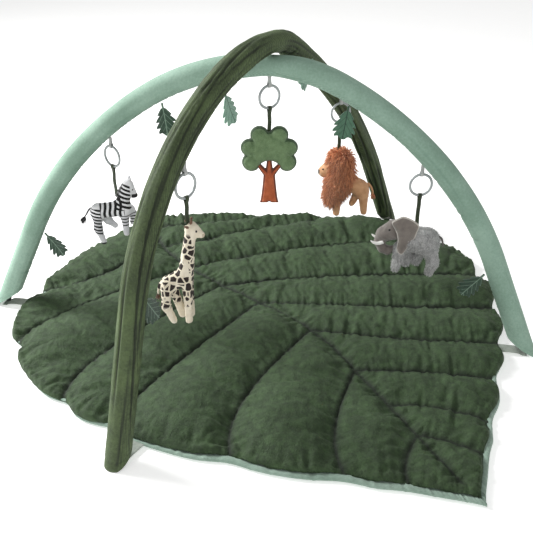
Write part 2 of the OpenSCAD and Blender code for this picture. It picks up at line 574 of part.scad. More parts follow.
module elephant_ears() color([0.45, 0.41, 0.39]) toy(at_elephant, face_elephant) {
  for (s = [-1, 1]) translate([0, s * 26 + 2.5, 0]) rotate([90, 0, 0]) linear_extrude(5) ear_shape();
}
module elephant_tusks() color([0.95, 0.95, 0.93]) toy(at_elephant, face_elephant) difference() {
  for (s = [-1, 1]) limb([-60, s * 12, -95, 3.5], [-79, s * 14, -94, 2]);
  head_form();
}
module elephant_eyes() color([0.03, 0.03, 0.03]) toy(at_elephant, face_elephant) bead_eyes([-50, -66], 16.4, 1.8);

mat_backing();
mat_batting();
mat_top();
strap_left();
strap_right();
strap_front();
strap_back();
light_cover();
light_foam();
light_rod_left();
light_rod_right();
light_ferrule();
light_rod_caps();
dark_cover();
dark_foam();
dark_rod_front();
dark_rod_back();
dark_ferrule();
dark_rod_caps();
loop_zebra();
loop_tree();
loop_elephant();
loop_giraffe();
loop_lion();
ring_zebra();
ring_tree();
ring_elephant();
ring_giraffe();
ring_lion();
ribbon_zebra();
ribbon_tree();
ribbon_elephant();
ribbon_giraffe();
ribbon_lion();
leaf_left_low();
leaf_left_high();
leaf_right_high();
leaf_right_low();
leaf_front_low();
leaf_front_high();
leaf_back_high();
zebra_body();
zebra_mane();
zebra_tail();
zebra_eyes();
giraffe_body();
giraffe_tail();
giraffe_eyes();
tree_crown();
tree_trunk();
lion_body();
lion_mane();
lion_tail();
lion_eyes();
elephant_body();
elephant_head();
elephant_ears();
elephant_tusks();
elephant_eyes();
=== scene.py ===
"""Leaf play gym: a quilted leaf-shaped floor mat under two crossing padded arches,
with five soft toys on link rings and seven felt leaves. Metres, floor at z = 0."""
import json
import bmesh
import bpy
import numpy as np
from mathutils import Matrix, Vector


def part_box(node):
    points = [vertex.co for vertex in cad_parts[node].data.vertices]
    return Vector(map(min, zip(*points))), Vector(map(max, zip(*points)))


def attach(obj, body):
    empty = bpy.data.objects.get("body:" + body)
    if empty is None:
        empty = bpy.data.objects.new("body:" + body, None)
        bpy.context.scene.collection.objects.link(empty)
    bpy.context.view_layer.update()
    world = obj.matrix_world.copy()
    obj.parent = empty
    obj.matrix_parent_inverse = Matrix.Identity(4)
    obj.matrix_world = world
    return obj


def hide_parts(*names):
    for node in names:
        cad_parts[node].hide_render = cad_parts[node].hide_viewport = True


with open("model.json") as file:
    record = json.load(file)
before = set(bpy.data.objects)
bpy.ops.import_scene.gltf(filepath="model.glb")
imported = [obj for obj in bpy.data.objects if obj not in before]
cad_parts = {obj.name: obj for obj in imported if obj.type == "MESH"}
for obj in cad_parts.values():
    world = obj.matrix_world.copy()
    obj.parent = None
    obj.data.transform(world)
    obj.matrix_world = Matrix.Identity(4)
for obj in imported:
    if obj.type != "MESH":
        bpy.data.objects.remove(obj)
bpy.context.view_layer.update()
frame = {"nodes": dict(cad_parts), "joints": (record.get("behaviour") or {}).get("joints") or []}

# ---- Camera ---------------------------------------------------------------
# A studio camera standing a little higher than the arches, in front and to
# the left of the mat's tip, looking down on the gym.
eye = Vector((-0.5377, -1.1303, 0.8266))
camera_turn, camera_tilt = np.radians(25.12), np.radians(28.65)
right = Vector((np.cos(camera_turn), -np.sin(camera_turn), 0))
forward = Vector((np.sin(camera_turn) * np.cos(camera_tilt), np.cos(camera_turn) * np.cos(camera_tilt),
                  -np.sin(camera_tilt)))
up = right.cross(forward)
camera = bpy.data.objects.new("studio_camera", bpy.data.cameras.new("studio_camera"))
camera.data.lens, camera.data.sensor_width = 49.45, 36
camera.matrix_world = Matrix.Translation(eye) @ Matrix((right, up, -forward)).transposed().to_4x4()
bpy.context.scene.collection.objects.link(camera)
bpy.context.scene.camera = camera

# ---- Studio floor and lights ------------------------------------------------
# A white paper floor, one broad softbox high at the back left, a weaker one in
# front, and an even white surround.


def nodes_of(material_or_group):
    """The node tree, emptied, ready to be built."""
    tree = material_or_group.node_tree if hasattr(material_or_group, "node_tree") else material_or_group
    tree.nodes.clear()
    return tree


def place(tree, kind, settings=None, **sockets):
    """One shader node. Settings are its own fields; a socket takes a number, a colour or another node's
    output."""
    made = tree.nodes.new(kind)
    for field, value in (settings or {}).items():
        setattr(made, field, value)
    for name, value in sockets.items():
        socket = made.inputs[int(name[1:])] if name[0] == "_" else made.inputs[name.replace("_", " ")]
        if isinstance(value, bpy.types.NodeSocket):
            tree.links.new(value, socket)
        else:
            socket.default_value = value
    return made


def shade(hex_colour):
    """A paint-chart colour as the linear colour that a shader takes."""
    s = np.array([int(hex_colour[i:i + 2], 16) for i in (0, 2, 4)]) / 255
    return (*np.where(s <= 0.04045, s / 12.92, ((s + 0.055) / 1.055) ** 2.4), 1.0)


def surfaced(name, rows, *finish):
    """A mesh object from vertices and faces given as arrays, smooth shaded, in the scene."""
    vertices, faces = rows
    mesh = bpy.data.meshes.new(name)
    mesh.from_pydata(np.asarray(vertices, float).tolist(), [], [list(map(int, f)) for f in faces])
    mesh.validate()
    mesh.polygons.foreach_set("use_smooth", np.ones(len(mesh.polygons), bool))
    for material in finish:
        mesh.materials.append(material)
    made = bpy.data.objects.new(name, mesh)
    bpy.context.scene.collection.objects.link(made)
    return made


paper = bpy.data.materials.new("floor_paper")
paper.use_nodes = True
t = nodes_of(paper)
grain = place(t, "ShaderNodeTexNoise", Vector=place(t, "ShaderNodeTexCoord").outputs["Object"], Scale=14.0,
              Detail=4.0)
tone = place(t, "ShaderNodeValToRGB", Fac=grain.outputs["Fac"])
tone.color_ramp.elements[0].color, tone.color_ramp.elements[1].color = shade("f4f4f3"), shade("fbfbfa")
sheet_of_paper = place(t, "ShaderNodeBsdfPrincipled", Base_Color=tone.outputs["Color"], Roughness=0.9,
                       Emission_Color=(1, 1, 1, 1), Emission_Strength=0.40)
place(t, "ShaderNodeOutputMaterial", Surface=sheet_of_paper.outputs[0])
floor = surfaced("studio_floor",
                 ([(-9, -9, -0.0006), (9, -9, -0.0006), (9, 9, -0.0006), (-9, 9, -0.0006)], [(0, 1, 2, 3)]),
                 paper)

surround = bpy.data.worlds.new("studio_surround")
surround.use_nodes = True
t = nodes_of(surround)
glow = place(t, "ShaderNodeBackground", Color=(1, 1, 1, 1), Strength=0.46)
wall = place(t, "ShaderNodeBackground", Color=(1, 1, 1, 1), Strength=0.96)
seen = place(t, "ShaderNodeLightPath").outputs["Is Camera Ray"]
both = place(t, "ShaderNodeMixShader", _0=seen, _1=glow.outputs[0], _2=wall.outputs[0])
place(t, "ShaderNodeOutputWorld", Surface=both.outputs[0])
bpy.context.scene.world = surround
bpy.context.scene.view_settings.view_transform = "Standard"


def softbox(name, at, toward, size, power):
    """A square area light aimed at a point."""
    made = bpy.data.objects.new(name, bpy.data.lights.new(name, "AREA"))
    made.data.shape, made.data.size, made.data.energy = "SQUARE", size, power
    made.location = at
    made.rotation_euler = (Vector(toward) - Vector(at)).to_track_quat("-Z", "Y").to_euler()
    bpy.context.scene.collection.objects.link(made)


softbox("key_softbox", (-1.7, 1.75, 1.75), (0, 0, 0.1), 1.0, 118)
softbox("fill_softbox", (-1.6, -2.6, 2.4), (0, 0, 0.2), 1.8, 20)


# ---- Mat ------------------------------------------------------------------
# One leaf-shaped quilt: crinkled cotton over polyester batting, stitched down
# along the midrib and the side veins, so each panel swells between its seams
# and the stitched lines pucker. The rim is pinched where a vein reaches it.
mat_length, mat_width, stem_y = 1.160, 1.040, 0.600
widest = 0.40
rim_height, seam_height, rim_inset = 0.0125, 0.0080, 0.0025
pitch = 0.0056


def belly(v):
    """Half-width share along the leaf: a blunt stem end, a long taper to the tip."""
    v = np.clip(v, 0, 1)
    return np.where(v < widest, 1 - ((np.maximum(widest - v, 0)) / widest) ** 2.2,
                    np.maximum(1 - (np.maximum(v - widest, 0) / (1 - widest)) ** 2.2, 0) ** 1.2)


def middle_x(v):
    """The leaf's middle line: straight, then swinging out at the tip and at the stem."""
    return 0.032 + 0.051 * np.maximum(0, (v - 0.6) / 0.4) ** 1.6 - 0.092 * np.maximum(0, 1 - v / 0.3) ** 2


def along(y):
    return (stem_y - y) / mat_length


def midrib_x(y):
    """The midrib is straight near the stem, crosses over in one smooth step, and ends straight at the tip."""
    u = np.clip((along(y) - 0.17) / 0.47, 0, 1)
    return -0.088 + 0.163 * u * u * (3 - 2 * u)


def bowed(start, end, bow, n=70):
    """A seam as a parabola arch between two points; bow is its height toward the stem."""
    u = np.linspace(0, 1.3, n)[:, None]
    a, b = np.array(start), np.array(end)
    return a + (b - a) * u + np.array([0, bow]) * 4 * u * (1 - u)


def hooked(start, end, hook, n=70):
    """A seam as a cubic curve that leaves slantwise and ends heading for the tip side."""
    a, d = np.array(start), np.array(end)
    c = d + np.array([-0.010, hook])
    b = a + 0.5 * (c - a)
    u = np.linspace(0, 1, n)[:, None]
    curve = (1 - u) ** 3 * a + 3 * u * (1 - u) ** 2 * b + 3 * u * u * (1 - u) * c + u ** 3 * d
    return np.vstack([curve, d + (d - curve[-2]) * np.linspace(1, 12, 12)[:, None]])


def from_rib(y):
    return (float(midrib_x(y)), y)


right_seams = [bowed((-0.050, 0.530), (0.293, 0.478), -0.016), bowed(from_rib(0.418), (0.385, 0.399), 0.0),
               bowed(from_rib(0.290), (0.400, 0.215), 0.021), bowed(from_rib(0.184), (0.522, -0.025), 0.019),
               bowed(from_rib(0.084), (0.462, -0.151), -0.007),
               bowed(from_rib(-0.056), (0.403, -0.269), -0.014),
               bowed(from_rib(-0.209), (0.315, -0.353), 0.005),
               bowed(from_rib(-0.321), (0.217, -0.440), 0.018),
               bowed(from_rib(-0.403), (0.153, -0.494), 0.008)]
left_seams = [bowed((-0.080, 0.467), (-0.441, 0.338), -0.058),
              hooked(from_rib(0.290), (-0.490, 0.095), 0.110),
              hooked(from_rib(0.184), (-0.440, -0.118), 0.130),
              hooked(from_rib(0.084), (-0.385, -0.198), 0.048),
              hooked(from_rib(-0.056), (-0.223, -0.365), 0.130),
              hooked(from_rib(-0.209), (-0.076, -0.455), 0.090),
              hooked(from_rib(-0.403), (0.003, -0.505), 0.040)]
rib_y = np.linspace(0.560, -0.520, 120)
midrib = np.stack([midrib_x(rib_y), rib_y], 1)


def half_width(v, inset):
    return belly(v) * (mat_width / 2 - inset)


def within(points, inset):
    """Whether each point lies inside the plain leaf outline."""
    v = along(points[:, 1])
    return (v > 0) & (v < 1) & (np.abs(points[:, 0] - middle_x(v)) < half_width(v, inset))


def trimmed(seams):
    """The seams cut where they meet the leaf's rim, and the lengthwise share of each meeting."""
    kept = [s[:max(2, int(np.argmin(np.append(within(s, rim_inset + 0.004), False))))] for s in seams]
    return kept, np.sort([float(along(s[-1, 1])) for s in kept])


right_seams, right_pinch = trimmed(right_seams)
left_seams, left_pinch = trimmed(left_seams)


def rim_line(inset, bay, n=900):
    """The leaf's outline, clockwise from the stem: its half-width less a bay that deepens to a pinch at
    each seam's end."""
    a = np.linspace(0, 1, n // 2 + 1)
    v = (1 - np.cos(np.pi * a)) / 2
    sides = []
    for side, pinch in ((1, right_pinch), (-1, left_pinch)):
        reach = np.abs(v[:, None] - pinch[None]).min(1) / 0.022
        depth = bay * np.exp(-reach ** 2) * np.minimum(1, 3 * belly(v))
        x = middle_x(v) + side * np.maximum(half_width(v, inset) - depth * belly(v), 0.0004)
        y = stem_y - mat_length * v + inset * 1.6 * (2 * v - 1) + depth * (2 * v - 1)
        sides.append(np.stack([x, y], 1))
    return np.vstack([sides[0][:-1], sides[1][::-1][:-1]])


def nearest(points, line, closed=False):
    """For each point its distance to a polyline, the closest place on it and how far along it that is."""
    a = line
    b = np.roll(line, -1, 0) if closed else line[1:]
    a = a if closed else a[:-1]
    best = np.full(len(points), 9.0)
    spot, share = np.zeros((len(points), 2)), np.zeros(len(points))
    for first in range(0, len(a), 24):
        p, q = a[first:first + 24], b[first:first + 24]
        d = q - p
        u = np.clip(((points[:, None] - p) * d).sum(2) / np.maximum((d * d).sum(1), 1e-12), 0, 1)
        c = p + u[..., None] * d
        far = np.linalg.norm(points[:, None] - c, axis=2)
        k = far.argmin(1)
        row = np.arange(len(points))
        better = far[row, k] < best
        best = np.where(better, far[row, k], best)
        spot = np.where(better[:, None], c[row, k], spot)
        share = np.where(better, (first + k + u[row, k]) / len(a), share)
    return best, spot, share


def inside_loop(points, loop):
    """Even-odd test of each point against a closed outline."""
    a, b = loop, np.roll(loop, -1, 0)
    hit = np.zeros(len(points), int)
    for first in range(0, len(a), 60):
        p, q = a[first:first + 60], b[first:first + 60]
        cross = (p[:, 1] > points[:, None, 1]) != (q[:, 1] > points[:, None, 1])
        x = (p[:, 0] + (points[:, None, 1] - p[:, 1])
             * (q[:, 0] - p[:, 0]) / np.where(q[:, 1] == p[:, 1], 1e-9, q[:, 1] - p[:, 1]))
        hit += (cross & (points[:, None, 0] < x)).sum(1)
    return hit % 2 == 1


rim = rim_line(rim_inset, 0.016)
columns = np.arange(-0.52, 0.60, pitch)
lines = np.arange(-0.575, 0.612, pitch)
gx, gy = np.meshgrid(columns, lines)
flat = np.stack([gx.ravel(), gy.ravel()], 1)
to_rim, rim_spot, _ = nearest(flat, rim, closed=True)
inner = inside_loop(flat, rim)
on_rim = (to_rim < 0.50 * pitch) | (~inner & (to_rim < 0.74 * pitch))
flat[on_rim] = rim_spot[on_rim]
used = inner | on_rim
seams = right_seams + left_seams + [midrib]
to_seam = np.full(len(flat), 9.0)
seam_spot = np.zeros_like(flat)
for seam in seams:
    d, c, _ = nearest(flat, seam)
    seam_spot = np.where((d < to_seam)[:, None], c, seam_spot)
    to_seam = np.minimum(d, to_seam)
on_seam = (to_seam < 0.50 * pitch) & ~on_rim & used
flat[on_seam] = seam_spot[on_seam]
to_seam[on_seam] = 0
m, n = len(lines), len(columns)
i, j = np.meshgrid(np.arange(m - 1), np.arange(n - 1), indexing="ij")
corner = (i * n + j).ravel()
quads = np.stack([corner, corner + 1, corner + n + 1, corner + n], 1)
count = used[quads].sum(1)
whole = quads[count == 4]
three = quads[count == 3]
three = [tuple(q[used[q]]) for q in three]
keep = np.unique(np.concatenate([whole.ravel(), np.array(three, int).ravel()]))
number = -np.ones(len(flat), int)
number[keep] = np.arange(len(keep))
whole, three = number[whole], [tuple(number[list(f)]) for f in three]
flat, to_rim, to_seam = flat[keep], to_rim[keep], to_seam[keep]
on_rim, on_seam = on_rim[keep], on_seam[keep]
rim_seam = np.exp(-(np.minimum(to_seam, 0.06) / 0.016) ** 2)
start_height = np.where(on_rim, rim_height - 0.004 * rim_seam,
                        seam_height + (rim_height + 0.008 - seam_height) * (1 - np.exp(-to_seam / 0.012)))
start_height = np.where(on_seam, seam_height, start_height)
start_height = start_height * np.clip(0.55 + to_rim / 0.01, 0, 1)
quilt = surfaced("quilt_top", (np.column_stack([flat, start_height]), [*whole.tolist(), *three]))


def swell(piece, held, push, growth, steps, cap):
    """The cloth is held along its stitching, cut a little larger than the space it covers, and blown up,
    so it swells and puckers; then each point is allowed at most the cap away from where it began."""
    group = piece.vertex_groups.new(name="stitched")
    group.add(np.flatnonzero(held).tolist(), 1.0, "REPLACE")
    rest = np.array([v.co for v in piece.data.vertices])
    cloth = piece.modifiers.new("cloth", "CLOTH")
    s = cloth.settings
    s.quality, s.mass, s.air_damping = 5, 0.12, 1.5
    s.tension_stiffness, s.compression_stiffness, s.shear_stiffness, s.bending_stiffness = 18, 18, 6, 0.06
    s.tension_damping = s.compression_damping = s.shear_damping = 12
    s.bending_damping = 1.0
    s.vertex_group_mass, s.pin_stiffness = "stitched", 1.0
    s.use_pressure, s.uniform_pressure_force = True, push
    s.shrink_min = -growth
    s.effector_weights.gravity = 0
    cloth.collision_settings.use_collision = False
    cloth.point_cache.frame_start, cloth.point_cache.frame_end = 1, steps
    for frame_number in range(1, steps + 1):
        bpy.context.scene.frame_set(frame_number)
    shaped = piece.evaluated_get(bpy.context.evaluated_depsgraph_get())
    now = np.array([v.co for v in shaped.data.vertices])
    piece.modifiers.remove(cloth)
    bpy.context.scene.frame_set(1)
    move = now - rest
    far = np.linalg.norm(move, axis=1, keepdims=True)
    move *= np.minimum(1, cap / np.maximum(far, 1e-9))
    piece.data.vertices.foreach_set("co", (rest + move).ravel())
    piece.vertex_groups.clear()


def refined(piece):
    """The piece's mesh subdivided once, smoothly, for good."""
    step = piece.modifiers.new("finer", "SUBSURF")
    step.levels = step.render_levels = 1
    step.boundary_smooth = "PRESERVE_CORNERS"
    finer = bpy.data.meshes.new_from_object(piece.evaluated_get(bpy.context.evaluated_depsgraph_get()))
    piece.modifiers.remove(step)
    piece.data = finer
    return np.array([v.co for v in finer.vertices])


def noted(piece, name, values):
    """Keeps one number per vertex on the mesh under a name that its material reads."""
    kept = piece.data.attributes.new(name, "FLOAT", "POINT")
    kept.data.foreach_set("value", np.asarray(values, np.float32))


def wander(x, seed, scale):
    """Smooth noise along a line: five sines of unlike lengths, summed, between about -1 and 1."""
    r = np.random.default_rng(seed)
    return (sum(np.sin(x / (scale * s) * 6.283 + p)
                for s, p in zip(r.uniform(0.5, 2.2, 5), r.uniform(0, 6.28, 5))) / 2.6)


def gathers(along_seam, away, seed, rows):
    """Puckers square to a seam. Each row is a wavelength, a depth and a reach: a sine along the seam, bent
    and faded by smooth noise, zero on the stitches and dying away with distance; crests are rounder
    than valleys."""
    total = 0
    for k, (wave, depth, reach) in enumerate(rows):
        turn = (6.283 * along_seam / wave + 2.4 * wander(along_seam, seed + k, wave * 4)
                + away / reach * 1.2 * wander(along_seam, seed + 9 + k, 0.05))
        swing = np.sin(turn)
        total = total + depth * (0.6
                                 + 0.6 * wander(along_seam, seed + 30 + k, 0.045)) * (np.abs(swing) ** 0.8
                                         * np.sign(swing) - 0.25) \
            * (1 - np.exp(-away / 0.0022)) * np.exp(-away / reach)
    return total


swell(quilt, on_rim | on_seam, 5.5, 0.075, 22, 0.030)
place_now = refined(quilt)
ground = place_now[:, :2]
rim_away, _, rim_along = nearest(ground, rim, closed=True)
away, down_seam = np.full(len(ground), 9.0), np.zeros(len(ground))
for k, seam in enumerate(seams):
    d, _, share = nearest(ground, seam)
    length = np.linalg.norm(np.diff(seam, axis=0), axis=1).sum()
    down_seam = np.where(d < away, share * length + k * 3.1, down_seam)
    away = np.minimum(d, away)
rim_along = rim_along * 3.4
creased = gathers(down_seam, away, 5,
                  [(0.0095, 0.0011, 0.010), (0.0150, 0.0018, 0.019), (0.0260, 0.0022, 0.040)])
creased += gathers(rim_along, rim_away, 71,
                   [(0.0100, 0.0012, 0.010), (0.0170, 0.0022, 0.022), (0.0310, 0.0026, 0.046)])
rumple = (0.0007 * (np.sin(ground @ np.array([210, 60]) + 2 * np.sin(ground @ np.array([-37, 90])))
                    * np.sin(ground @ np.array([-80, 190]) + 2 * np.sin(ground @ np.array([70, 31])))))
place_now[:, 2] += ((creased + rumple * (1 - np.exp(-np.minimum(away, rim_away) / 0.01)))
                    * np.clip(rim_away / 0.003, 0, 1))
quilt.data.vertices.foreach_set("co", place_now.ravel())
noted(quilt, "from_seam", np.minimum(away, rim_away))
noted(quilt, "seam_only", away)
noted(quilt, "down_seam", down_seam)


made = bmesh.new()
made.from_mesh(quilt.data)
edges = [e for e in made.edges if e.is_boundary]
under = bmesh.ops.extrude_edge_only(made, edges=edges)["geom"]
low = [v for v in under if isinstance(v, bmesh.types.BMVert)]
low_xy = np.array([v.co[:2] for v in low])
_, low_spot, _ = nearest(low_xy, rim_line(rim_inset + 0.008, 0.016), closed=True)
for vertex, spot in zip(low, low_spot):
    vertex.co = (spot[0], spot[1], 0.0055)
bmesh.ops.contextual_create(made, geom=[e for e in under if isinstance(e, bmesh.types.BMEdge)])
for face in made.faces:
    face.smooth = True
bmesh.ops.recalc_face_normals(made, faces=made.faces)
made.to_mesh(quilt.data)
made.free()


def effect(name, takes, gives):
    """An empty node group with named inputs and outputs, and its two end nodes."""
    tree = bpy.data.node_groups.new(name, "ShaderNodeTree")
    for label, kind, value in takes:
        socket = tree.interface.new_socket(label, in_out="INPUT", socket_type="NodeSocket" + kind)
        if value is not None:
            socket.default_value = value
    for label, kind in gives:
        tree.interface.new_socket(label, in_out="OUTPUT", socket_type="NodeSocket" + kind)
    return tree, tree.nodes.new("NodeGroupInput"), tree.nodes.new("NodeGroupOutput")


def sums(tree, how, *values):
    """One maths node; returns its output."""
    return place(tree, "ShaderNodeMath", {"operation": how},
                 **{f"_{k}": v for k, v in enumerate(values)}).outputs[0]


def ramped(tree, value, *stops):
    """A colour ramp from (place, colour) stops, or a ramp of greys from (place, number)."""
    made_ramp = place(tree, "ShaderNodeValToRGB", Fac=value)
    colours = [(at, c if isinstance(c, tuple) else (c, c, c, 1)) for at, c in stops]
    while len(made_ramp.color_ramp.elements) < len(colours):
        made_ramp.color_ramp.elements.new(0.5)
    for element, (at, colour) in zip(made_ramp.color_ramp.elements, colours):
        element.position, element.color = at, colour
    return made_ramp.outputs["Color"]


def grouped(tree, which, **sockets):
    """A shared effect placed in a material with its own values."""
    node = tree.nodes.new("ShaderNodeGroup")
    node.node_tree = which
    for name, value in sockets.items():
        socket = node.inputs[name.replace("_", " ")]
        if isinstance(value, bpy.types.NodeSocket):
            tree.links.new(value, socket)
        else:
            socket.default_value = value
    return node


# Woven cloth: over-and-under threads as the product of two sines, with uneven
# thread thickness, and soft blotches where the dye has washed out.
woven, w_in, w_out = effect("woven_cloth",
                            [("Place", "Vector", None), ("Threads per metre", "Float", 900.0),
                             ("Blotch size", "Float", 20.0)],
                            [("Threads", "Float"), ("Blotches", "Float"), ("Crumple", "Float")])
xyz = place(woven, "ShaderNodeSeparateXYZ", Vector=w_in.outputs["Place"])
turns = sums(woven, "MULTIPLY", w_in.outputs["Threads per metre"], 3.1416)
warp = sums(woven, "SINE",
            sums(woven, "MULTIPLY", sums(woven, "ADD", xyz.outputs["X"],
                                         sums(woven, "MULTIPLY", xyz.outputs["Z"], 0.7)), turns))
weft = sums(woven, "SINE",
            sums(woven, "MULTIPLY", sums(woven, "ADD", xyz.outputs["Y"],
                                         sums(woven, "MULTIPLY", xyz.outputs["Z"], 0.7)), turns))
uneven = place(woven, "ShaderNodeTexNoise", Vector=w_in.outputs["Place"], Scale=260.0, Detail=3.0)
woven.links.new(sums(woven, "ADD", sums(woven, "MULTIPLY", sums(woven, "MULTIPLY", warp, weft), 0.5),
                     uneven.outputs["Fac"]), w_out.inputs["Threads"])
blotch = place(woven, "ShaderNodeTexNoise", Vector=w_in.outputs["Place"], Scale=w_in.outputs["Blotch size"],
               Detail=5.0, Roughness=0.6)
woven.links.new(blotch.outputs["Fac"], w_out.inputs["Blotches"])
crumple = place(woven, "ShaderNodeTexNoise", Vector=w_in.outputs["Place"], Scale=150.0, Detail=4.0,
                Roughness=0.6, Distortion=1.6)
woven.links.new(crumple.outputs["Fac"], w_out.inputs["Crumple"])


def cloth_finish(name, dark, light, threads=900.0, blotches=20.0, roughness=0.85, sheen=0.25,
                 crumple_depth=0.0012, weave_depth=0.00025, mask=None, painted_shade_colour=None,
                 sheen_tint=(1, 1, 1, 1)):
    """A woven cotton: its dye between two shades by the blotches, with a crumple bump and a thread bump.
    mask is a function of the tree that gives a share for a third colour: painted shade, laid in the
    quilt's seam valleys and the sleeves' crease valleys."""
    made = bpy.data.materials.new(name)
    made.use_nodes = True
    t = nodes_of(made)
    where = place(t, "ShaderNodeTexCoord").outputs["Object"]
    g = grouped(t, woven, Place=where, Threads_per_metre=threads, Blotch_size=blotches)
    mix = sums(t, "ADD", sums(t, "MULTIPLY", g.outputs["Blotches"], 0.62),
               sums(t, "MULTIPLY", g.outputs["Threads"], 0.30))
    colour = ramped(t, mix, (0.34, shade(dark)), (0.62, shade(light)))
    # The third colour is painted shade wherever the mask is high.
    if mask is not None:
        colour = place(t, "ShaderNodeMix", {"data_type": "RGBA"}, _0=mask(t), _6=colour,
                       _7=shade(painted_shade_colour)).outputs[2]
    fold = place(t, "ShaderNodeBump", Strength=0.9, Distance=crumple_depth, Height=g.outputs["Crumple"])
    thread = place(t, "ShaderNodeBump", Strength=0.7, Distance=weave_depth, Height=g.outputs["Threads"],
                   Normal=fold.outputs[0])
    rough = ramped(t, g.outputs["Crumple"], (0.2, roughness - 0.08), (0.8, min(roughness + 0.08, 1.0)))
    cloth = place(t, "ShaderNodeBsdfPrincipled", Base_Color=colour, Roughness=rough, Normal=thread.outputs[0])
    cloth.inputs["Sheen Weight"].default_value, cloth.inputs["Sheen Roughness"].default_value = sheen, 0.5
    cloth.inputs["Sheen Tint"].default_value = sheen_tint
    place(t, "ShaderNodeOutputMaterial", Surface=cloth.outputs[0])
    return made


def stitch_and_valley_shade(t):
    """1 on the stitching and 0 a few millimetres off it: the dark stitch thread on the line, and painted
    shade in the seam valley beside it.
    """
    d = place(t, "ShaderNodeAttribute", {"attribute_name": "seam_only"}).outputs["Fac"]
    return ramped(t, sums(t, "MULTIPLY", d, 100.0), (0.05, 0.95), (0.35, 0.50), (0.95, 0.0))


# Its third colour, 10190e, is dark stitch thread on each seam and painted shade in the seam valleys either
# side.
forest_cotton = cloth_finish("forest_cotton", "26361f", "425a36", 800.0, 55.0, 0.8, 0.06, 0.0028, 0.0003,
                             stitch_and_valley_shade, "10190e", shade("a8c0a0"))
quilt.data.materials.append(forest_cotton)
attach(quilt, "mat")
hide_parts("mat_top", "mat_batting")

# ---- Mat backing ------------------------------------------------------------
# Sage cotton under the whole leaf, wider than the quilt, rolled up over the
# edge as a soft facing band and sewn to the quilt's rim.
rim_count = 1100
profile = [(0.0045, 0.0160, 0.0160), (0.0070, 0.0080, 0.0160), (0.0080, 0.0045, 0.0160),
           (0.0080, 0.0025, 0.0155), (0.0074, 0.0012, 0.0150),
           (0.0060, 0.0003, 0.0145), (0.0040, 0.0, 0.0140), (0.0020, 0.0010, 0.0140),
           (0.0003, 0.0030, 0.0140), (0.0003, 0.0120, 0.0140), (0.0003, 0.0300, 0.0140)]
rolled = []
along_edge = np.linspace(0, 3.4, rim_count, endpoint=False)
for row, (z, inset, bay) in enumerate(profile):
    shown = rim_line(inset - 0.005, bay * 0.75, rim_count)
    tucked = rim_line(inset + 0.005, bay, rim_count)
    front = np.clip((-0.10 - shown[:, 1:]) / 0.20, 0, 1) * np.clip((0.35 - shown[:, :1]) / 0.2, 0, 1)
    ring = tucked + (shown - tucked) * front
    ripple = (gathers(along_edge, np.full(rim_count, 0.006), 140,
                      [(0.012, 0.0011, 0.02), (0.021, 0.0013, 0.02)]) * (1 if 0 < row < 7 else 0))
    rolled.append(np.column_stack([ring, z + ripple]))
k = np.arange(rim_count)
nxt = (k + 1) % rim_count
bands = np.concatenate([np.stack([r * rim_count + k, r * rim_count + nxt, (r + 1) * rim_count + nxt,
                                  (r + 1) * rim_count + k], 1) for r in range(len(profile) - 1)])
last = (len(profile) - 1) * rim_count
sage_cotton = cloth_finish("sage_cotton", "7d9686", "9fb5a7", 850.0, 14.0, 0.8, 0.3, 0.0010, 0.00022)
backing = surfaced("backing_cloth",
                   (np.vstack(rolled), [*bands.tolist(), list(range(last, last + rim_count))]), sage_cotton)
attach(backing, "mat")
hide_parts("mat_backing")

# ---- Arch sleeves ---------------------------------------------------------
# Each arch is a bent glass-fibre rod in a round foam core, with a cotton sleeve
# drawn over it and turned in at both slanted ends. The sleeve is longer than
# its core, so it lies in long wrinkles, bunched on the inside of the curve.
sleeve_radius, core_radius, crossing_dent, dent_reach = 0.021, 0.0186, 0.143, 0.035
mouth_rise = 32
crossing_gap = 0.002
sage_height = 0.531
olive_height = sage_height + 2 * sleeve_radius * (1 - crossing_dent) + crossing_gap


def half_arch(reach, height, steepness, bend_share, leg_share):
    """One half of an arch, foot to crossing: its reach and height, the leg's slope and the slope where the
    tighter arc starts in degrees, the leg's length, and the radii with which both arcs end level at the
    top."""
    steep = np.arctan(steepness * height / reach)
    bend = steep * bend_share
    leg = leg_share * np.hypot(reach, height)
    arcs = [[np.sin(steep) - np.sin(bend), np.sin(bend)], [np.cos(bend) - np.cos(steep), 1 - np.cos(bend)]]
    wide, tight = np.linalg.solve(arcs, [reach - leg * np.cos(steep), height - leg * np.sin(steep)])
    return reach, height, np.degrees(steep), np.degrees(bend), leg, wide, tight


sage_arch = dict(turn=-35.1, halves=[half_arch(0.577, sage_height, 2.17, 0.49, 0.263),
                                     half_arch(0.500, sage_height, 2.145, 0.40, 0.287)])
olive_arch = dict(turn=32.8, halves=[half_arch(0.456, olive_height, 2.96, 0.29, 0.37),
                                     half_arch(0.592, olive_height, 1.57, 0.52, 0.24)])


def foot(arch, number):
    """Where one foot of an arch stands on the floor: number 0 is its first half, 1 its second."""
    turn, reach = np.radians(arch["turn"]), arch["halves"][number][0]
    return (2 * number - 1) * reach * np.array([np.cos(turn), np.sin(turn)])


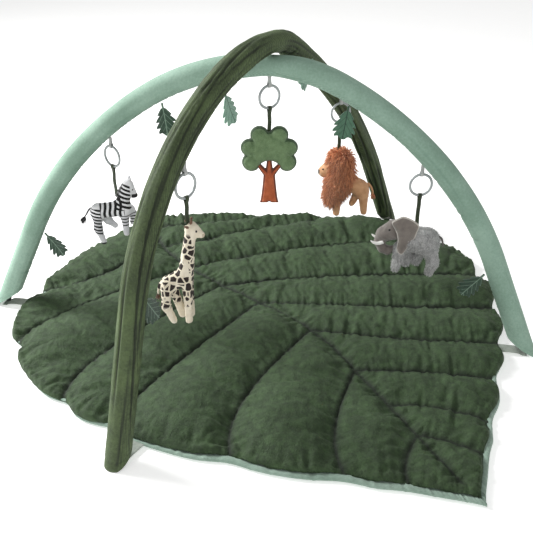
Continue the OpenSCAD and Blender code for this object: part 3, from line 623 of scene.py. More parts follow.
def half_path(half, s):
    """A half arch by distance s up from its foot: a straight leg, a wide arc, a tighter arc ending level.
    Gives the reach and height of the centre line, its slope, and the distance left to the top."""
    reach, height, steep, bend, leg, wide, tight = half
    steep, bend = np.radians(steep), np.radians(bend)
    wide_len, tight_len = wide * (steep - bend), tight * bend
    turn_wide = steep - np.clip(s - leg, 0, wide_len) / wide
    slope = np.where(s < leg + wide_len, turn_wide, bend - (s - leg - wide_len) / tight)
    cx, cz = leg * np.cos(steep) + wide * np.sin(steep), leg * np.sin(steep) - wide * np.cos(steep)
    x = np.where(s < leg, s * np.cos(steep),
                 np.where(s < leg + wide_len, cx - wide * np.sin(slope), reach - tight * np.sin(slope)))
    z = np.where(s < leg, s * np.sin(steep),
                 np.where(s < leg + wide_len, cz + wide * np.cos(slope),
                          height - tight + tight * np.cos(slope)))
    return x, z, slope, leg + wide_len + tight_len - s


def half_length(half):
    return half[4] + (half[5] * (half[2] - half[3]) + half[6] * half[3]) * np.pi / 180


def arch_line(arch, s):
    """The whole arch by distance s from its first foot: place across, height, slope (falling past the
    top)."""
    first, second = arch["halves"]
    total = half_length(first) + half_length(second)
    x1, z1, f1, d1 = half_path(first, np.minimum(s, half_length(first)))
    x2, z2, f2, d2 = half_path(second, np.minimum(total - s, half_length(second)))
    early = s <= half_length(first)
    return np.where(early, x1 - first[0], second[0] - x2), np.where(early, z1, z2), np.where(early, f1,
            -f2), np.where(early, d1, -d2)


def mouth_cut(angle, r, half):
    """How far up the leg a sleeve's wall starts: down on the floor on the outside, rising at mouth_rise
    inside."""
    steep = np.radians(half[2])
    x, z = -r * np.cos(angle) * np.sin(steep), r * np.cos(angle) * np.cos(steep)
    edge, rise = -sleeve_radius / np.sin(steep) + 0.006, np.tan(np.radians(mouth_rise))
    return (np.maximum(-z / np.sin(steep), ((x - edge) * rise - z) / (np.sin(steep) - np.cos(steep) * rise))
            + 0.0006)


def round_arch(arch, s, angle, r):
    """Points on a tube round the arch: s along it, angle round it from the outer line, r out from its middle,
    flattened where the arches press on each other at the crossing."""
    across, height, slope, to_top = arch_line(arch, s)
    give = 1 - crossing_dent * np.exp(-(to_top / dent_reach) ** 2)
    out, side = r * np.cos(angle) * give, r * np.sin(angle)
    p, z = across - out * np.sin(slope), height + out * np.cos(slope)
    turn = np.radians(arch["turn"])
    return np.stack([p * np.cos(turn) - side * np.sin(turn), p * np.sin(turn) + side * np.cos(turn), z], -1)


def folds(s, angle, seed, count, s_range, length, width, depth, slant, lean_to=None):
    """Creases in a sleeve: each is a valley with raised lips, a bell across its width and another along its
    length, placed by seeded chance; slant is how far it winds round per metre."""
    r = np.random.default_rng(seed)
    total = np.zeros_like(s)
    for _ in range(count):
        s0, a0 = r.uniform(*s_range), (r.uniform(0, 6.283) if lean_to is None else r.normal(*lean_to))
        ln, wd, dp, sl = (r.uniform(*pair) for pair in (length, width, depth, slant))
        off = (angle - a0 - sl * (s - s0) + np.pi) % (2 * np.pi) - np.pi
        u = (off * sleeve_radius / wd) ** 2
        total -= dp * (1 - 1.3 * u) * np.exp(-u) * np.exp(-np.abs((s - s0) / ln) ** 2.5)
    return total


def bunches(s, angle, seed, count, s_range, reach, width, depth, facing, tilt):
    """Gathers across a sleeve: short valleys that run round it, centred on the facing side."""
    r = np.random.default_rng(seed)
    total = np.zeros_like(s)
    for _ in range(count):
        s0, a0 = r.uniform(*s_range), r.normal(facing, 0.35)
        rc, wd, dp, tl = (r.uniform(*pair) for pair in (reach, width, depth, tilt))
        off = (angle - a0 + np.pi) % (2 * np.pi) - np.pi
        u = ((s - s0 - tl * off) / wd) ** 2
        total -= dp * (1 - 1.2 * u) * np.exp(-u) * np.exp(-np.abs(off / rc) ** 2.2)
    return total


def sleeve(name, arch, wrinkle, finish, around=60, stations=620):
    """The sleeve as one grid: along the arch by round it, its radius changed by the wrinkles, with each
    end turned in over the mouth and run back up inside to the core."""
    total = half_length(arch["halves"][0]) + half_length(arch["halves"][1])
    s = np.linspace(0, total, stations)[:, None]
    angle = np.linspace(0, 2 * np.pi, around, endpoint=False)[None]
    s, angle = np.broadcast_arrays(s, angle)
    first, second = mouth_cut(angle, sleeve_radius, arch["halves"][0]), mouth_cut(angle, sleeve_radius,
            arch["halves"][1])
    blend_len = 0.10
    pushed = (s + first * np.clip(1 - s / blend_len, 0, 1)
              - second * np.clip(1 - (total - s) / blend_len, 0, 1))
    end_fade = np.clip(np.minimum(s, total - s) / 0.012, 0, 1)
    hem = -0.0007 * (np.exp(-((s - 0.014) / 0.0022) ** 2) + np.exp(-((total - s - 0.014) / 0.0022) ** 2))
    press = 1 - 0.9 * np.exp(-((s - half_length(arch["halves"][0])) / 0.030) ** 2)
    bumps = np.clip(wrinkle(s, angle) * press, -0.0034, 0.0038) * end_fade + hem
    outer = round_arch(arch, pushed, angle, sleeve_radius - 0.0004 + bumps)
    depth = np.linspace(0.0, 0.036, 9)[1:, None]
    ins = []
    for cut, at_end in ((first, False), (second, True)):
        cut_row = cut[0][None]
        up = np.minimum(cut_row + depth, 0.052)
        station = total - up if at_end else up
        a = np.broadcast_to(angle[0][None], station.shape)
        ins.append(round_arch(arch, station, a, sleeve_radius - 0.0018))
    grid = np.concatenate([ins[0][::-1], outer, ins[1]])
    rows = len(grid)
    i, k = np.meshgrid(np.arange(rows - 1), np.arange(around), indexing="ij")
    nk = (k + 1) % around
    quads = np.stack([i * around + k, i * around + nk, (i + 1) * around + nk, (i + 1) * around + k],
                     -1).reshape(-1, 4)
    made = surfaced(name, (grid.reshape(-1, 3), quads), finish)
    wave = np.concatenate([np.full((8, around), -0.002), bumps, np.full((8, around), -0.002)])
    noted(made, "crease", wave.ravel())
    return made


def crease_shade_share(dark_at, light_at):
    """A mask from the wrinkle height kept on the mesh: 1 in the valleys, 0 on the crests; it lays painted
    shade in the creases.
    """
    def mask(t):
        h = place(t, "ShaderNodeAttribute", {"attribute_name": "crease"}).outputs["Fac"]
        return ramped(t, sums(t, "ADD", sums(t, "MULTIPLY", h, 200.0), 0.5), (dark_at, 0.75), (light_at, 0.0))
    return mask


# The sleeves' third colours, 11180b and 55796a, are painted shade in the crease valleys.
olive_sleeve = cloth_finish("olive_sleeve", "303d23", "586a40", 900.0, 18.0, 0.75, 0.1, 0.0012, 0.0002,
                            crease_shade_share(0.18, 0.47), "11180b", shade("b8cfa8"))
sage_sleeve = cloth_finish("sage_sleeve", "7c9a88", "9dbaa9", 950.0, 12.0, 0.8, 0.12, 0.0007, 0.00018,
                           crease_shade_share(0.05, 0.46), "55796a", shade("e0efe6"))
olive_first = half_length(olive_arch["halves"][0])
olive_total = olive_first + half_length(olive_arch["halves"][1])
sage_first = half_length(sage_arch["halves"][0])
sage_total = sage_first + half_length(sage_arch["halves"][1])


def olive_wrinkle(s, angle):
    return (folds(s, angle, 3, 130, (0.0, olive_total), (0.06, 0.20), (0.0020, 0.0044), (0.0009, 0.0026),
                  (-3, 3))
            + folds(s, angle, 4, 90, (0.0, olive_total), (0.02, 0.06), (0.0016, 0.0030), (0.0004, 0.0011),
                    (-14, 14))
            + bunches(s, angle, 7, 52, (olive_first + 0.030, olive_first + 0.19), (0.6, 1.2),
                      (0.0026, 0.0052), (0.0018, 0.0044), 2.7, (-0.008, 0.008))
            + bunches(s, angle, 8, 26, (olive_first - 0.24, olive_first - 0.03), (0.4, 0.9), (0.0022, 0.0042),
                      (0.0005, 0.0014), 3.14, (-0.006, 0.006)))


def sage_wrinkle(s, angle):
    return (folds(s, angle, 13, 46, (0.0, sage_total), (0.05, 0.18), (0.0028, 0.0060), (0.0003, 0.0010),
                  (-3, 3))
            + bunches(s, angle, 17, 30, (0.10, sage_first - 0.03), (0.4, 0.9), (0.0030, 0.0055),
                      (0.0003, 0.0010), 3.14, (-0.006, 0.006))
            + bunches(s, angle, 18, 26, (sage_first + 0.03, sage_total - 0.1), (0.4, 0.9), (0.0030, 0.0055),
                      (0.0003, 0.0010), 3.14, (-0.006, 0.006)))


def tube_along(name, arch, start, r, finish, around=28, stations=150):
    """A plain tube along the arch from start to start short of the other foot, closed at both ends round
    the rod."""
    total = half_length(arch["halves"][0]) + half_length(arch["halves"][1])
    s = np.linspace(start, total - start, stations)
    s = np.concatenate([[start] * 2, s, [total - start] * 2])[:, None]
    radii = np.concatenate([[0.0048, r * 0.8], np.full(stations, r), [r * 0.8, 0.0048]])[:, None]
    angle = np.linspace(0, 2 * np.pi, around, endpoint=False)[None]
    grid = round_arch(arch, s + 0 * angle, angle + 0 * s, radii + 0 * angle)
    i, k = np.meshgrid(np.arange(len(s) - 1), np.arange(around), indexing="ij")
    nk = (k + 1) % around
    quads = np.stack([i * around + k, i * around + nk, (i + 1) * around + nk, (i + 1) * around + k],
                     -1).reshape(-1, 4)
    return surfaced(name, (grid.reshape(-1, 3), quads), finish)


fibre_fill = cloth_finish("foam_core", "d9d8cf", "f2f1ea", 1500.0, 60.0, 0.9, 0.1, 0.0008, 0.0004)
for name, arch, wrinkle, finish, body, slot_name in (("sage", sage_arch, sage_wrinkle, sage_sleeve,
                                                      "light_arch", "sage_sleeve"),
                                                     ("olive", olive_arch, olive_wrinkle, olive_sleeve,
                                                      "dark_arch", "olive_sleeve")):
    cover = sleeve(name + "_sleeve", arch, wrinkle, finish)
    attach(cover, body)
    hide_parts(body.split("_")[0] + "_cover")
    core = tube_along(name + "_core", arch, 0.040, core_radius - 0.0022, fibre_fill)
    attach(core, body)
    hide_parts(body.split("_")[0] + "_foam")

# Inside each sleeve: two glass-fibre rod halves, a metal ferrule that joins
# them and black rubber caps. They keep the frame's own shapes.


def hard_finish(name, dark, light, roughness, metallic=0.0, scale=90.0, depth=0.0001, coat=0.0,
                stretch=(1, 1, 1)):
    """A moulded or drawn surface: two close shades by fine noise, uneven gloss and a slight bump."""
    made = bpy.data.materials.new(name)
    made.use_nodes = True
    t = nodes_of(made)
    where = place(t, "ShaderNodeMapping", Vector=place(t, "ShaderNodeTexCoord").outputs["Object"],
                  Scale=stretch)
    grain = place(t, "ShaderNodeTexNoise", Vector=where.outputs[0], Scale=scale, Detail=4.0)
    colour = ramped(t, grain.outputs["Fac"], (0.3, shade(dark)), (0.7, shade(light)))
    rough = ramped(t, grain.outputs["Fac"], (0.2, max(roughness - 0.06, 0.02)), (0.8, roughness + 0.08))
    bump = place(t, "ShaderNodeBump", Strength=0.5, Distance=depth, Height=grain.outputs["Fac"])
    hard = place(t, "ShaderNodeBsdfPrincipled", Base_Color=colour, Roughness=rough, Metallic=metallic,
                 Normal=bump.outputs[0])
    hard.inputs["Coat Weight"].default_value = coat
    place(t, "ShaderNodeOutputMaterial", Surface=hard.outputs[0])
    return made


def refinish(nodes, finish):
    """A CAD node that keeps its shape and gets a better material."""
    for node in nodes:
        piece = frame["nodes"][node]
        piece.data.materials.clear()
        piece.data.materials.append(finish)


refinish(["light_rod_left", "light_rod_right", "dark_rod_front", "dark_rod_back"],
         hard_finish("rod_glass_fibre", "c9c8bc", "dedccf", 0.45, scale=400.0, stretch=(1, 1, 0.1)))
refinish(["light_ferrule", "dark_ferrule"],
         hard_finish("ferrule_metal", "a9abae", "c6c8ca", 0.32, 1.0, 300.0))
refinish(["light_rod_caps", "dark_rod_caps"],
         hard_finish("rod_cap_rubber", "131414", "232424", 0.7, scale=200.0))

# ---- Foot straps --------------------------------------------------------------
# A short flat tape is sewn to the mat's edge in line with each leg, and its
# free end lies inside the sleeve's mouth. Plain woven tape, box-stitched.
strap_width, strap_thick = 0.026, 0.0016
tape = cloth_finish("webbing_tape", "909a8f", "aeb6ac", 1400.0, 40.0, 0.8, 0.2, 0.0004, 0.0004)


def strip(name, centre, across, normal, width, thickness, finish, around=12):
    """A flat band along a line of points: at each point an oval cross-section, wide along across and thin
    along normal, with both ends closed."""
    centre, across, normal = (np.broadcast_to(np.asarray(v, float), (len(centre), 3))
                              for v in (centre, across, normal))
    angle = np.linspace(0, 2 * np.pi, around, endpoint=False)
    wide = np.sign(np.cos(angle)) * np.abs(np.cos(angle)) ** 0.35 * width / 2
    thin = np.sign(np.sin(angle)) * np.abs(np.sin(angle)) ** 0.55 * thickness / 2
    grid = centre[:, None] + wide[None, :, None] * across[:, None] + thin[None, :, None] * normal[:, None]
    rows = len(grid)
    i, k = np.meshgrid(np.arange(rows - 1), np.arange(around), indexing="ij")
    nk = (k + 1) % around
    quads = np.stack([i * around + k, i * around + nk, (i + 1) * around + nk, (i + 1) * around + k],
                     -1).reshape(-1, 4)
    ends = [list(range(around))[::-1], list(range((rows - 1) * around, rows * around))]
    piece = surfaced(name, (grid.reshape(-1, 3), [*quads.tolist(), *ends]), finish)
    fix = bmesh.new()
    fix.from_mesh(piece.data)
    bmesh.ops.recalc_face_normals(fix, faces=fix.faces)
    fix.to_mesh(piece.data)
    fix.free()
    return piece


feet = dict(left=foot(sage_arch, 0), right=foot(sage_arch, 1), front=foot(olive_arch, 0),
            back=foot(olive_arch, 1))
for side, (fx, fy) in feet.items():
    low, high = (np.array(c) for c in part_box("strap_" + side))
    out = np.array([fx, fy]) / np.hypot(fx, fy)
    ends = np.array([[x, y] for x in (low[0], high[0]) for y in (low[1], high[1])]) @ out
    far = np.hypot(fx, fy) + 0.003
    near = far - (ends.max() - ends.min()) * 0.9
    d = np.linspace(max(near, far - 0.075), far, 26)
    z = ((low[2] + high[2]) / 2 + 0.0022 * np.sin(np.linspace(0, np.pi, 26))
         - 0.010 * np.clip((d - (far - 0.02)) / 0.02, 0, 1) ** 2)
    z = np.maximum(z, 0.0014)
    line = np.stack([d * out[0], d * out[1], z], 1)
    band = strip("strap_tape_" + side, line, (-out[1], out[0], 0), (0, 0, 1), strap_width, strap_thick, tape)
    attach(band, "mat")
    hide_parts("strap_" + side)

# ---- Hanging loops, link rings and ribbons --------------------------------
# From each arch a pale grey doubled tape hangs; a smooth plastic link ring
# runs in it, and the toy's dark doubled ribbon is looped round the ring.
ring_mid, top_wire_drop = 0.0197, 0.0163
pivots = {joint["name"]: np.array(joint["pos_m"]) for joint in frame["joints"] if joint["type"] == "hinge"}
hang_points = {toy: pivots[toy + "_ring_swing"] + (0, 0, top_wire_drop)
               for toy in ("zebra", "tree", "elephant", "giraffe", "lion")}
ring_turns = dict(zebra=-62, tree=4, elephant=-18, giraffe=22, lion=-8)
hang_arch = dict(zebra="light_arch", tree="light_arch", elephant="light_arch", giraffe="dark_arch",
                 lion="dark_arch")
ribbon_lengths = dict(zebra=0.060, tree=0.048, elephant=0.068, giraffe=0.046, lion=0.060)
clear_tape = cloth_finish("loop_tape", "a8aaa8", "cfd1cf", 1800.0, 70.0, 0.45, 0.1, 0.0003, 0.0003)
ribbon_cloth = cloth_finish("ribbon_green", "1d2a10", "33441c", 1600.0, 60.0, 0.6, 0.2, 0.0004, 0.0004)
refinish(["ring_" + toy for toy in hang_points],
         hard_finish("ring_plastic", "8f9596", "aeb4b4", 0.22, 0.0, 60.0, 0.00005, 0.5))


def eye_line(reach, up, wire=0.0033, lay=0.00085, seed=0):
    """A tape folded round a wire: down one ply, round under the wire, and back up the other, in its own
    plane. The plies close in from the wire's width to lie against each other, with a slight wave."""
    straight = np.linspace(reach, 0.0022, 30)
    close = lay + (wire - lay) * np.exp(-((straight - 0.0015) / 0.0042) ** 2)
    wave = 0.0007 * np.sin(straight * 160 + seed) * np.clip((straight - 0.008) / 0.010, 0, 1)
    half = np.linspace(0, np.pi, 15)[1:-1]
    y = np.concatenate([close + wave, wire * np.cos(half), (-close + wave)[::-1]])
    z = np.concatenate([straight, -wire * np.sin(half), straight[::-1]])
    return y, (z if up else -z)


for seed, (toy, (hx, hy, hz)) in enumerate(hang_points.items()):
    turn = np.radians(ring_turns[toy])
    along_wire, square = np.array([np.cos(turn), np.sin(turn), 0]), np.array([-np.sin(turn), np.cos(turn), 0])
    for kind, drop, up, reach, width, finish, node, body in (
            ("loop", top_wire_drop, True, top_wire_drop + 0.0015, 0.0062, clear_tape, "loop_",
             hang_arch[toy]),
            ("ribbon", top_wire_drop + 2 * ring_mid, False, ribbon_lengths[toy], 0.0070, ribbon_cloth,
             "ribbon_", toy + "_toy")):
        y, z = eye_line(reach, up, seed=seed)
        centre = np.array([hx, hy, hz - drop]) + y[:, None] * square + z[:, None] * np.array([0, 0, 1.0])
        tangent = np.gradient(centre, axis=0)
        tangent /= np.linalg.norm(tangent, axis=1, keepdims=True)
        normal = np.cross(tangent, along_wire)
        band = strip(f"{kind}_tape_{toy}", centre, along_wire, normal, width, 0.0010, finish)
        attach(band, body)
        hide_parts(node + toy)

# ---- Felt leaves ------------------------------------------------------------
# Seven die-cut wool felt leaves with five slanted lobes a side, an embroidered
# midrib and veins, and a stem stitched under an arch. Felt curls a little.
leaf_long, leaf_wide, leaf_thick = 0.062, 0.040, 0.0022


def lobed(share):
    """Half-width of the leaf down its length: a pointed oval cut by four saw-toothed notches, lobes
    slanting to the tip."""
    envelope = np.sin(np.pi * np.clip(share * 0.93 + 0.05, 0, 1)) ** 0.62
    tooth = (share * 4.6 + 0.12) % 1.0
    notch = np.where(tooth < 0.72, 0.60 + 0.40 * np.sin(np.minimum(tooth / 0.72, 1) * np.pi / 2) ** 0.8,
                     1 - 0.40 * (np.maximum(tooth - 0.72, 0) / 0.28) ** 1.3)
    return envelope * np.where(share > 0.92, 0.75, notch)


# Felt: matted short fibres as fine distorted noise over soft blotches, with a
# paler fuzz; its bump is the fibre mat.
matted, f_in, f_out = effect("felt_mat", [("Place", "Vector", None), ("Fibre size", "Float", 900.0)],
                             [("Fibres", "Float"), ("Blotches", "Float")])
fibre = place(matted, "ShaderNodeTexNoise", Vector=f_in.outputs["Place"], Scale=f_in.outputs["Fibre size"],
              Detail=5.0, Roughness=0.75, Distortion=2.5)
matted.links.new(fibre.outputs["Fac"], f_out.inputs["Fibres"])
cloud = place(matted, "ShaderNodeTexNoise", Vector=f_in.outputs["Place"], Scale=90.0, Detail=3.0)
matted.links.new(cloud.outputs["Fac"], f_out.inputs["Blotches"])


def felt_finish(name, dark, light, fibre_size=900.0, depth=0.0007, sheen=0.3, over=None):
    """Wool felt or plush between two shades by its fibres. over(tree, colour, fibres) may lay markings on
    the colour."""
    made = bpy.data.materials.new(name)
    made.use_nodes = True
    t = nodes_of(made)
    g = grouped(t, matted, Place=place(t, "ShaderNodeTexCoord").outputs["Object"], Fibre_size=fibre_size)
    mix = sums(t, "ADD", sums(t, "MULTIPLY", g.outputs["Fibres"], 0.65),
               sums(t, "MULTIPLY", g.outputs["Blotches"], 0.35))
    colour = ramped(t, mix, (0.36, shade(dark)), (0.62, shade(light)))
    if over is not None:
        colour = over(t, colour, g.outputs["Fibres"])
    bump = place(t, "ShaderNodeBump", Strength=0.9, Distance=depth, Height=g.outputs["Fibres"])
    wool = place(t, "ShaderNodeBsdfPrincipled", Base_Color=colour,
                 Roughness=ramped(t, g.outputs["Fibres"], (0.2, 0.82), (0.8, 0.98)), Normal=bump.outputs[0])
    wool.inputs["Sheen Weight"].default_value, wool.inputs["Sheen Roughness"].default_value = sheen, 0.6
    place(t, "ShaderNodeOutputMaterial", Surface=wool.outputs[0])
    return made


def marked(t, colour, share, second):
    """A second colour laid over the first by a share."""
    return place(t, "ShaderNodeMix", {"data_type": "RGBA"}, _0=share, _6=colour, _7=second).outputs[2]


def veined(thread):
    """Embroidery on a leaf from its own map: a midrib line and slanting veins, as bands of a set width."""
    def over(t, colour, fibres):
        uv = place(t, "ShaderNodeSeparateXYZ",
                   Vector=place(t, "ShaderNodeUVMap", {"uv_map": "leaf_map"}).outputs[0])
        side = sums(t, "ABSOLUTE", uv.outputs["X"])
        rib = sums(t, "LESS_THAN", side, 0.00085)
        slant = sums(t, "ADD", uv.outputs["Y"], sums(t, "MULTIPLY", side, -0.85))
        cell = sums(t, "ABSOLUTE",
                    sums(t, "SUBTRACT", sums(t, "FRACT", sums(t, "MULTIPLY", slant, 1 / 0.0125)), 0.5))
        vein = sums(t, "MULTIPLY", sums(t, "LESS_THAN", cell, 0.045), sums(t, "LESS_THAN", side, 0.013))
        return marked(t, colour, sums(t, "MULTIPLY", sums(t, "MAXIMUM", rib, vein), 0.85), shade(thread))
    return over


felts = dict(dark=(felt_finish("felt_dark", "1b3325", "31503b", over=veined("7f9a86")), "felt_dark"),
             mid=(felt_finish("felt_mid", "38604a", "587f66", over=veined("163024")), "felt_mid"),
             mint=(felt_finish("felt_mint", "6b9680", "94b8a4", over=veined("2a5040")), "felt_mint"))
# how far each leaf leans, the arch that it is sewn to, and its felt
stems = dict(left_low=(-38, sage_arch, "dark"), left_high=(-8, sage_arch, "dark"),
             right_high=(8, sage_arch, "mid"), right_low=(38, sage_arch, "dark"),
             # front_low is a mint leaf like the others on the olive arch; its dark felt is painted shade, for
             # the shade it hangs in.
             front_low=(-30, olive_arch, "dark"), front_high=(-24, olive_arch, "mint"),
             back_high=(40, olive_arch, "mint"))
stem_rise = 0.0014
for seed, (spot, (tilt, arch, felt)) in enumerate(stems.items()):
    lx, ly, lz = pivots[f"leaf_{spot}_flap"] + (0, 0, stem_rise)
    down, side = np.linspace(0, 1, 150), np.linspace(-1, 1, 21)
    share = np.clip((down * leaf_long - 0.009) / (leaf_long - 0.009), 0, 1)
    half = np.where(down * leaf_long < 0.009, 0.0017, np.maximum(lobed(share) * leaf_wide / 2, 0.0014))
    half[-1] = 0.0006
    x = half[:, None] * side[None]
    z = (-(0.0026 + down[:, None] * (leaf_long - 0.0026))
         - 0.5 * np.abs(x) * np.clip(1.6 * down * (1 - down) * 4, 0, 1)[:, None] * (down < 0.86)[:, None])
    z = np.maximum(z, -leaf_long)
    r = np.random.default_rng(40 + seed)
    curl = r.uniform(0.002, 0.0045)
    y = (curl * (np.sin(down * 2.6 + r.uniform(0, 1))[:, None] - 0.8) * down[:, None]
         + 9.0 * x ** 2 * r.choice([-1, 1]) * np.sin(np.pi * down)[:, None] + x * r.uniform(-0.10, 0.10))
    y = np.clip(y, -0.006, 0.006)
    lean, swing = np.radians(tilt), np.radians(arch["turn"])
    xr, zr = x * np.cos(lean) + z * np.sin(lean), -x * np.sin(lean) + z * np.cos(lean)
    rows = np.stack([lx + xr * np.cos(swing) - y * np.sin(swing), ly + xr * np.sin(swing) + y * np.cos(swing),
                     lz + zr], -1)
    i, k = np.meshgrid(np.arange(149), np.arange(20), indexing="ij")
    quads = np.stack([i * 21 + k, i * 21 + k + 1, (i + 1) * 21 + k + 1, (i + 1) * 21 + k], -1).reshape(-1, 4)
    leaf = surfaced("felt_leaf_" + spot, (rows.reshape(-1, 3), quads), felts[felt][0])
    chart = leaf.data.uv_layers.new(name="leaf_map")
    corners = np.zeros(len(leaf.data.loops), int)
    leaf.data.loops.foreach_get("vertex_index", corners)
    chart.data.foreach_set("uv",
                           np.stack([x, np.broadcast_to(down[:, None] * leaf_long, x.shape)], -1).reshape(-1,
                                   2)[corners].astype(np.float32).ravel())
    thick = leaf.modifiers.new("felt", "SOLIDIFY")
    thick.thickness, thick.offset = leaf_thick, 0.0
    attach(leaf, "felt_" + spot)
    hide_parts("leaf_" + spot)

# ---- Felt tree ---------------------------------------------------------------
# A flat stuffed tree: two lobed felt faces sewn edge to edge over fibre fill,
# on a forked felt trunk. The outline is top-stitched in a darker thread.
toy_turns = dict(zebra=-12, tree=-25, elephant=-36, giraffe=-20, lion=-32)


def toy_place(toy, local):
    """A toy's own metres (x to its right, y away, z up from the ring's low wire) placed under its ring and
    turned."""
    hx, hy, hz = hang_points[toy]
    a = np.radians(toy_turns[toy])
    local = np.asarray(local, float)
    return np.stack([hx + local[..., 0] * np.cos(a) - local[..., 1] * np.sin(a),
                     hy + local[..., 0] * np.sin(a) + local[..., 1] * np.cos(a),
                     hz - 0.0557 + local[..., 2]], -1)


def closed_up(piece):
    """Merges doubled points and points every face outwards."""
    fix = bmesh.new()
    fix.from_mesh(piece.data)
    bmesh.ops.remove_doubles(fix, verts=fix.verts, dist=1e-6)
    bmesh.ops.recalc_face_normals(fix, faces=fix.faces)
    fix.to_mesh(piece.data)
    fix.free()


def dressed(piece, toy, nodes):
    """Puts a finished toy piece on its body, in place of its frame nodes."""
    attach(piece, toy + "_toy")
    if nodes:
        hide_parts(*nodes)


def pillow(name, toy, inside, low, high, cell, half_thick, edge, finish, wave=0.0):
    """A flat stuffed shape from a plan function, which is negative inside: a square grid over it, snapped
    to its outline, raised both ways by a rounded swell of the distance to the edge."""
    xs, zs = np.arange(low[0], high[0], cell), np.arange(low[1], high[1], cell)
    gx_, gz_ = np.meshgrid(xs, zs, indexing="ij")
    flat_points = np.stack([gx_, gz_], -1).reshape(-1, 2)
    d = inside(flat_points)
    e = 1e-5
    for _ in range(3):
        slope_x = (inside(flat_points + [e, 0]) - d) / e
        slope_z = (inside(flat_points + [0, e]) - d) / e
        steep2 = np.maximum(slope_x ** 2 + slope_z ** 2, 0.2)
        near = np.abs(d) < 0.72 * cell
        flat_points = np.where(near[:, None],
                               flat_points - np.stack([slope_x, slope_z], 1) * (d / steep2)[:, None],
                               flat_points)
        d = inside(flat_points)
        d = np.where(near & (np.abs(d) < 0.3 * cell), 0, d)
    use = d <= 0
    nz = len(zs)
    i, k = np.meshgrid(np.arange(len(xs) - 1), np.arange(nz - 1), indexing="ij")
    c0 = (i * nz + k).ravel()
    q = np.stack([c0, c0 + nz, c0 + nz + 1, c0 + 1], 1)
    four = q[use[q].all(1)]
    tri = [tuple(f[use[f]]) for f in q[use[q].sum(1) == 3]]
    kept = np.unique(np.concatenate([four.ravel(), np.array(tri, int).ravel()]) if tri else four.ravel())
    renumber = -np.ones(len(d), int)
    renumber[kept] = np.arange(len(kept))
    u = np.clip(-d[kept] / edge, 0, 1)
    swell_up = half_thick * np.sqrt(np.clip(1 - (1 - u) ** 2, 0, 1))
    stitch = 0.0011 * np.exp(-((-d[kept] - 0.0028) / 0.0008) ** 2)
    ripple = (wave * np.sin(flat_points[kept, 0] * 620 + 3 * np.sin(flat_points[kept, 1] * 240))
              * np.exp(-((-d[kept] - 0.005) / 0.004) ** 2))
    depth = np.maximum(swell_up - stitch + ripple, 0) * (d[kept] < 0)
    plan = flat_points[kept]
    front = toy_place(toy, np.column_stack([plan[:, 0], -depth, plan[:, 1]]))
    back = toy_place(toy, np.column_stack([plan[:, 0], depth, plan[:, 1]]))
    n_kept = len(kept)
    faces = [tuple(f) for f in renumber[four]] + [tuple(renumber[list(f)]) for f in tri]
    faces += [tuple(v + n_kept for v in f[::-1]) for f in faces]
    piece = surfaced(name, (np.vstack([front, back]), faces), finish)
    noted(piece, "edge_away", np.tile(-d[kept], 2))
    closed_up(piece)
    return piece


def discs(points, *rows):
    """The least distance to any of the discs (x, z, radius), melted together over 3 mm: negative inside."""
    total = sum(np.exp(-(np.linalg.norm(points - np.array(row[:2]), axis=1) - row[2]) / 0.0012)
                for row in rows)
    return -0.0012 * np.log(np.maximum(total, 1e-30))


def crown_plan(points):
    """Seven round lobes, less a round bay at the bottom where the trunk forks."""
    lobes = discs(points, (0.0175, -0.0485, 0.0165), (-0.0175, -0.0485, 0.0165), (0.0350, -0.0720, 0.0165),
                  (-0.0350, -0.0720, 0.0165),
                  (0.0320, -0.0990, 0.0175), (-0.0320, -0.0990, 0.0175), (0, -0.078, 0.036))
    bay = 0.0215 - np.linalg.norm(points - np.array([0, -0.118]), axis=1)
    return np.maximum(lobes, bay)


def bar(points, a, b, ra, rb):
    """Distance to a tapering bar between two points."""
    a, b = np.array(a), np.array(b)
    u = np.clip(((points - a) @ (b - a)) / ((b - a) @ (b - a)), 0, 1)
    return np.linalg.norm(points - a - u[:, None] * (b - a), axis=1) - (ra + (rb - ra) * u)


def trunk_plan(points):
    """A flared trunk with a small notch at its foot, splitting into three branches."""
    u = np.clip((points[:, 1] + 0.1785) / 0.056, 0, 1)
    body = np.maximum(np.abs(points[:, 0]) - (0.0180 - 0.0075 * u ** 0.6),
                      np.maximum(-0.1785 - points[:, 1], points[:, 1] + 0.119))
    arms = np.minimum(bar(points, (0, -0.122), (0, -0.092), 0.0075, 0.0040),
                      np.minimum(bar(points, (0.005, -0.122), (0.0205, -0.103), 0.0060, 0.0038),
                                 bar(points, (-0.005, -0.122), (-0.0205, -0.103), 0.0060, 0.0038)))
    notch = 0.0035 - np.linalg.norm(points - np.array([0, -0.180]), axis=1)
    return np.maximum(np.minimum(body, arms), notch)


def outlined(thread, width=0.0018, at=0.0022):
    """A line of top-stitching at a set distance in from the edge, and a band of the same colour on the
    very rim.
    """
    def over(t, colour, fibres):
        d = place(t, "ShaderNodeAttribute", {"attribute_name": "edge_away"}).outputs["Fac"]
        line = sums(t, "LESS_THAN", sums(t, "ABSOLUTE", sums(t, "SUBTRACT", d, at)), width / 2)
        rim_shade = sums(t, "MULTIPLY", sums(t, "LESS_THAN", d, 0.0013), 0.9)
        return marked(t, colour, sums(t, "MULTIPLY", sums(t, "MAXIMUM", line, rim_shade), 0.85),
                      shade(thread))
    return over


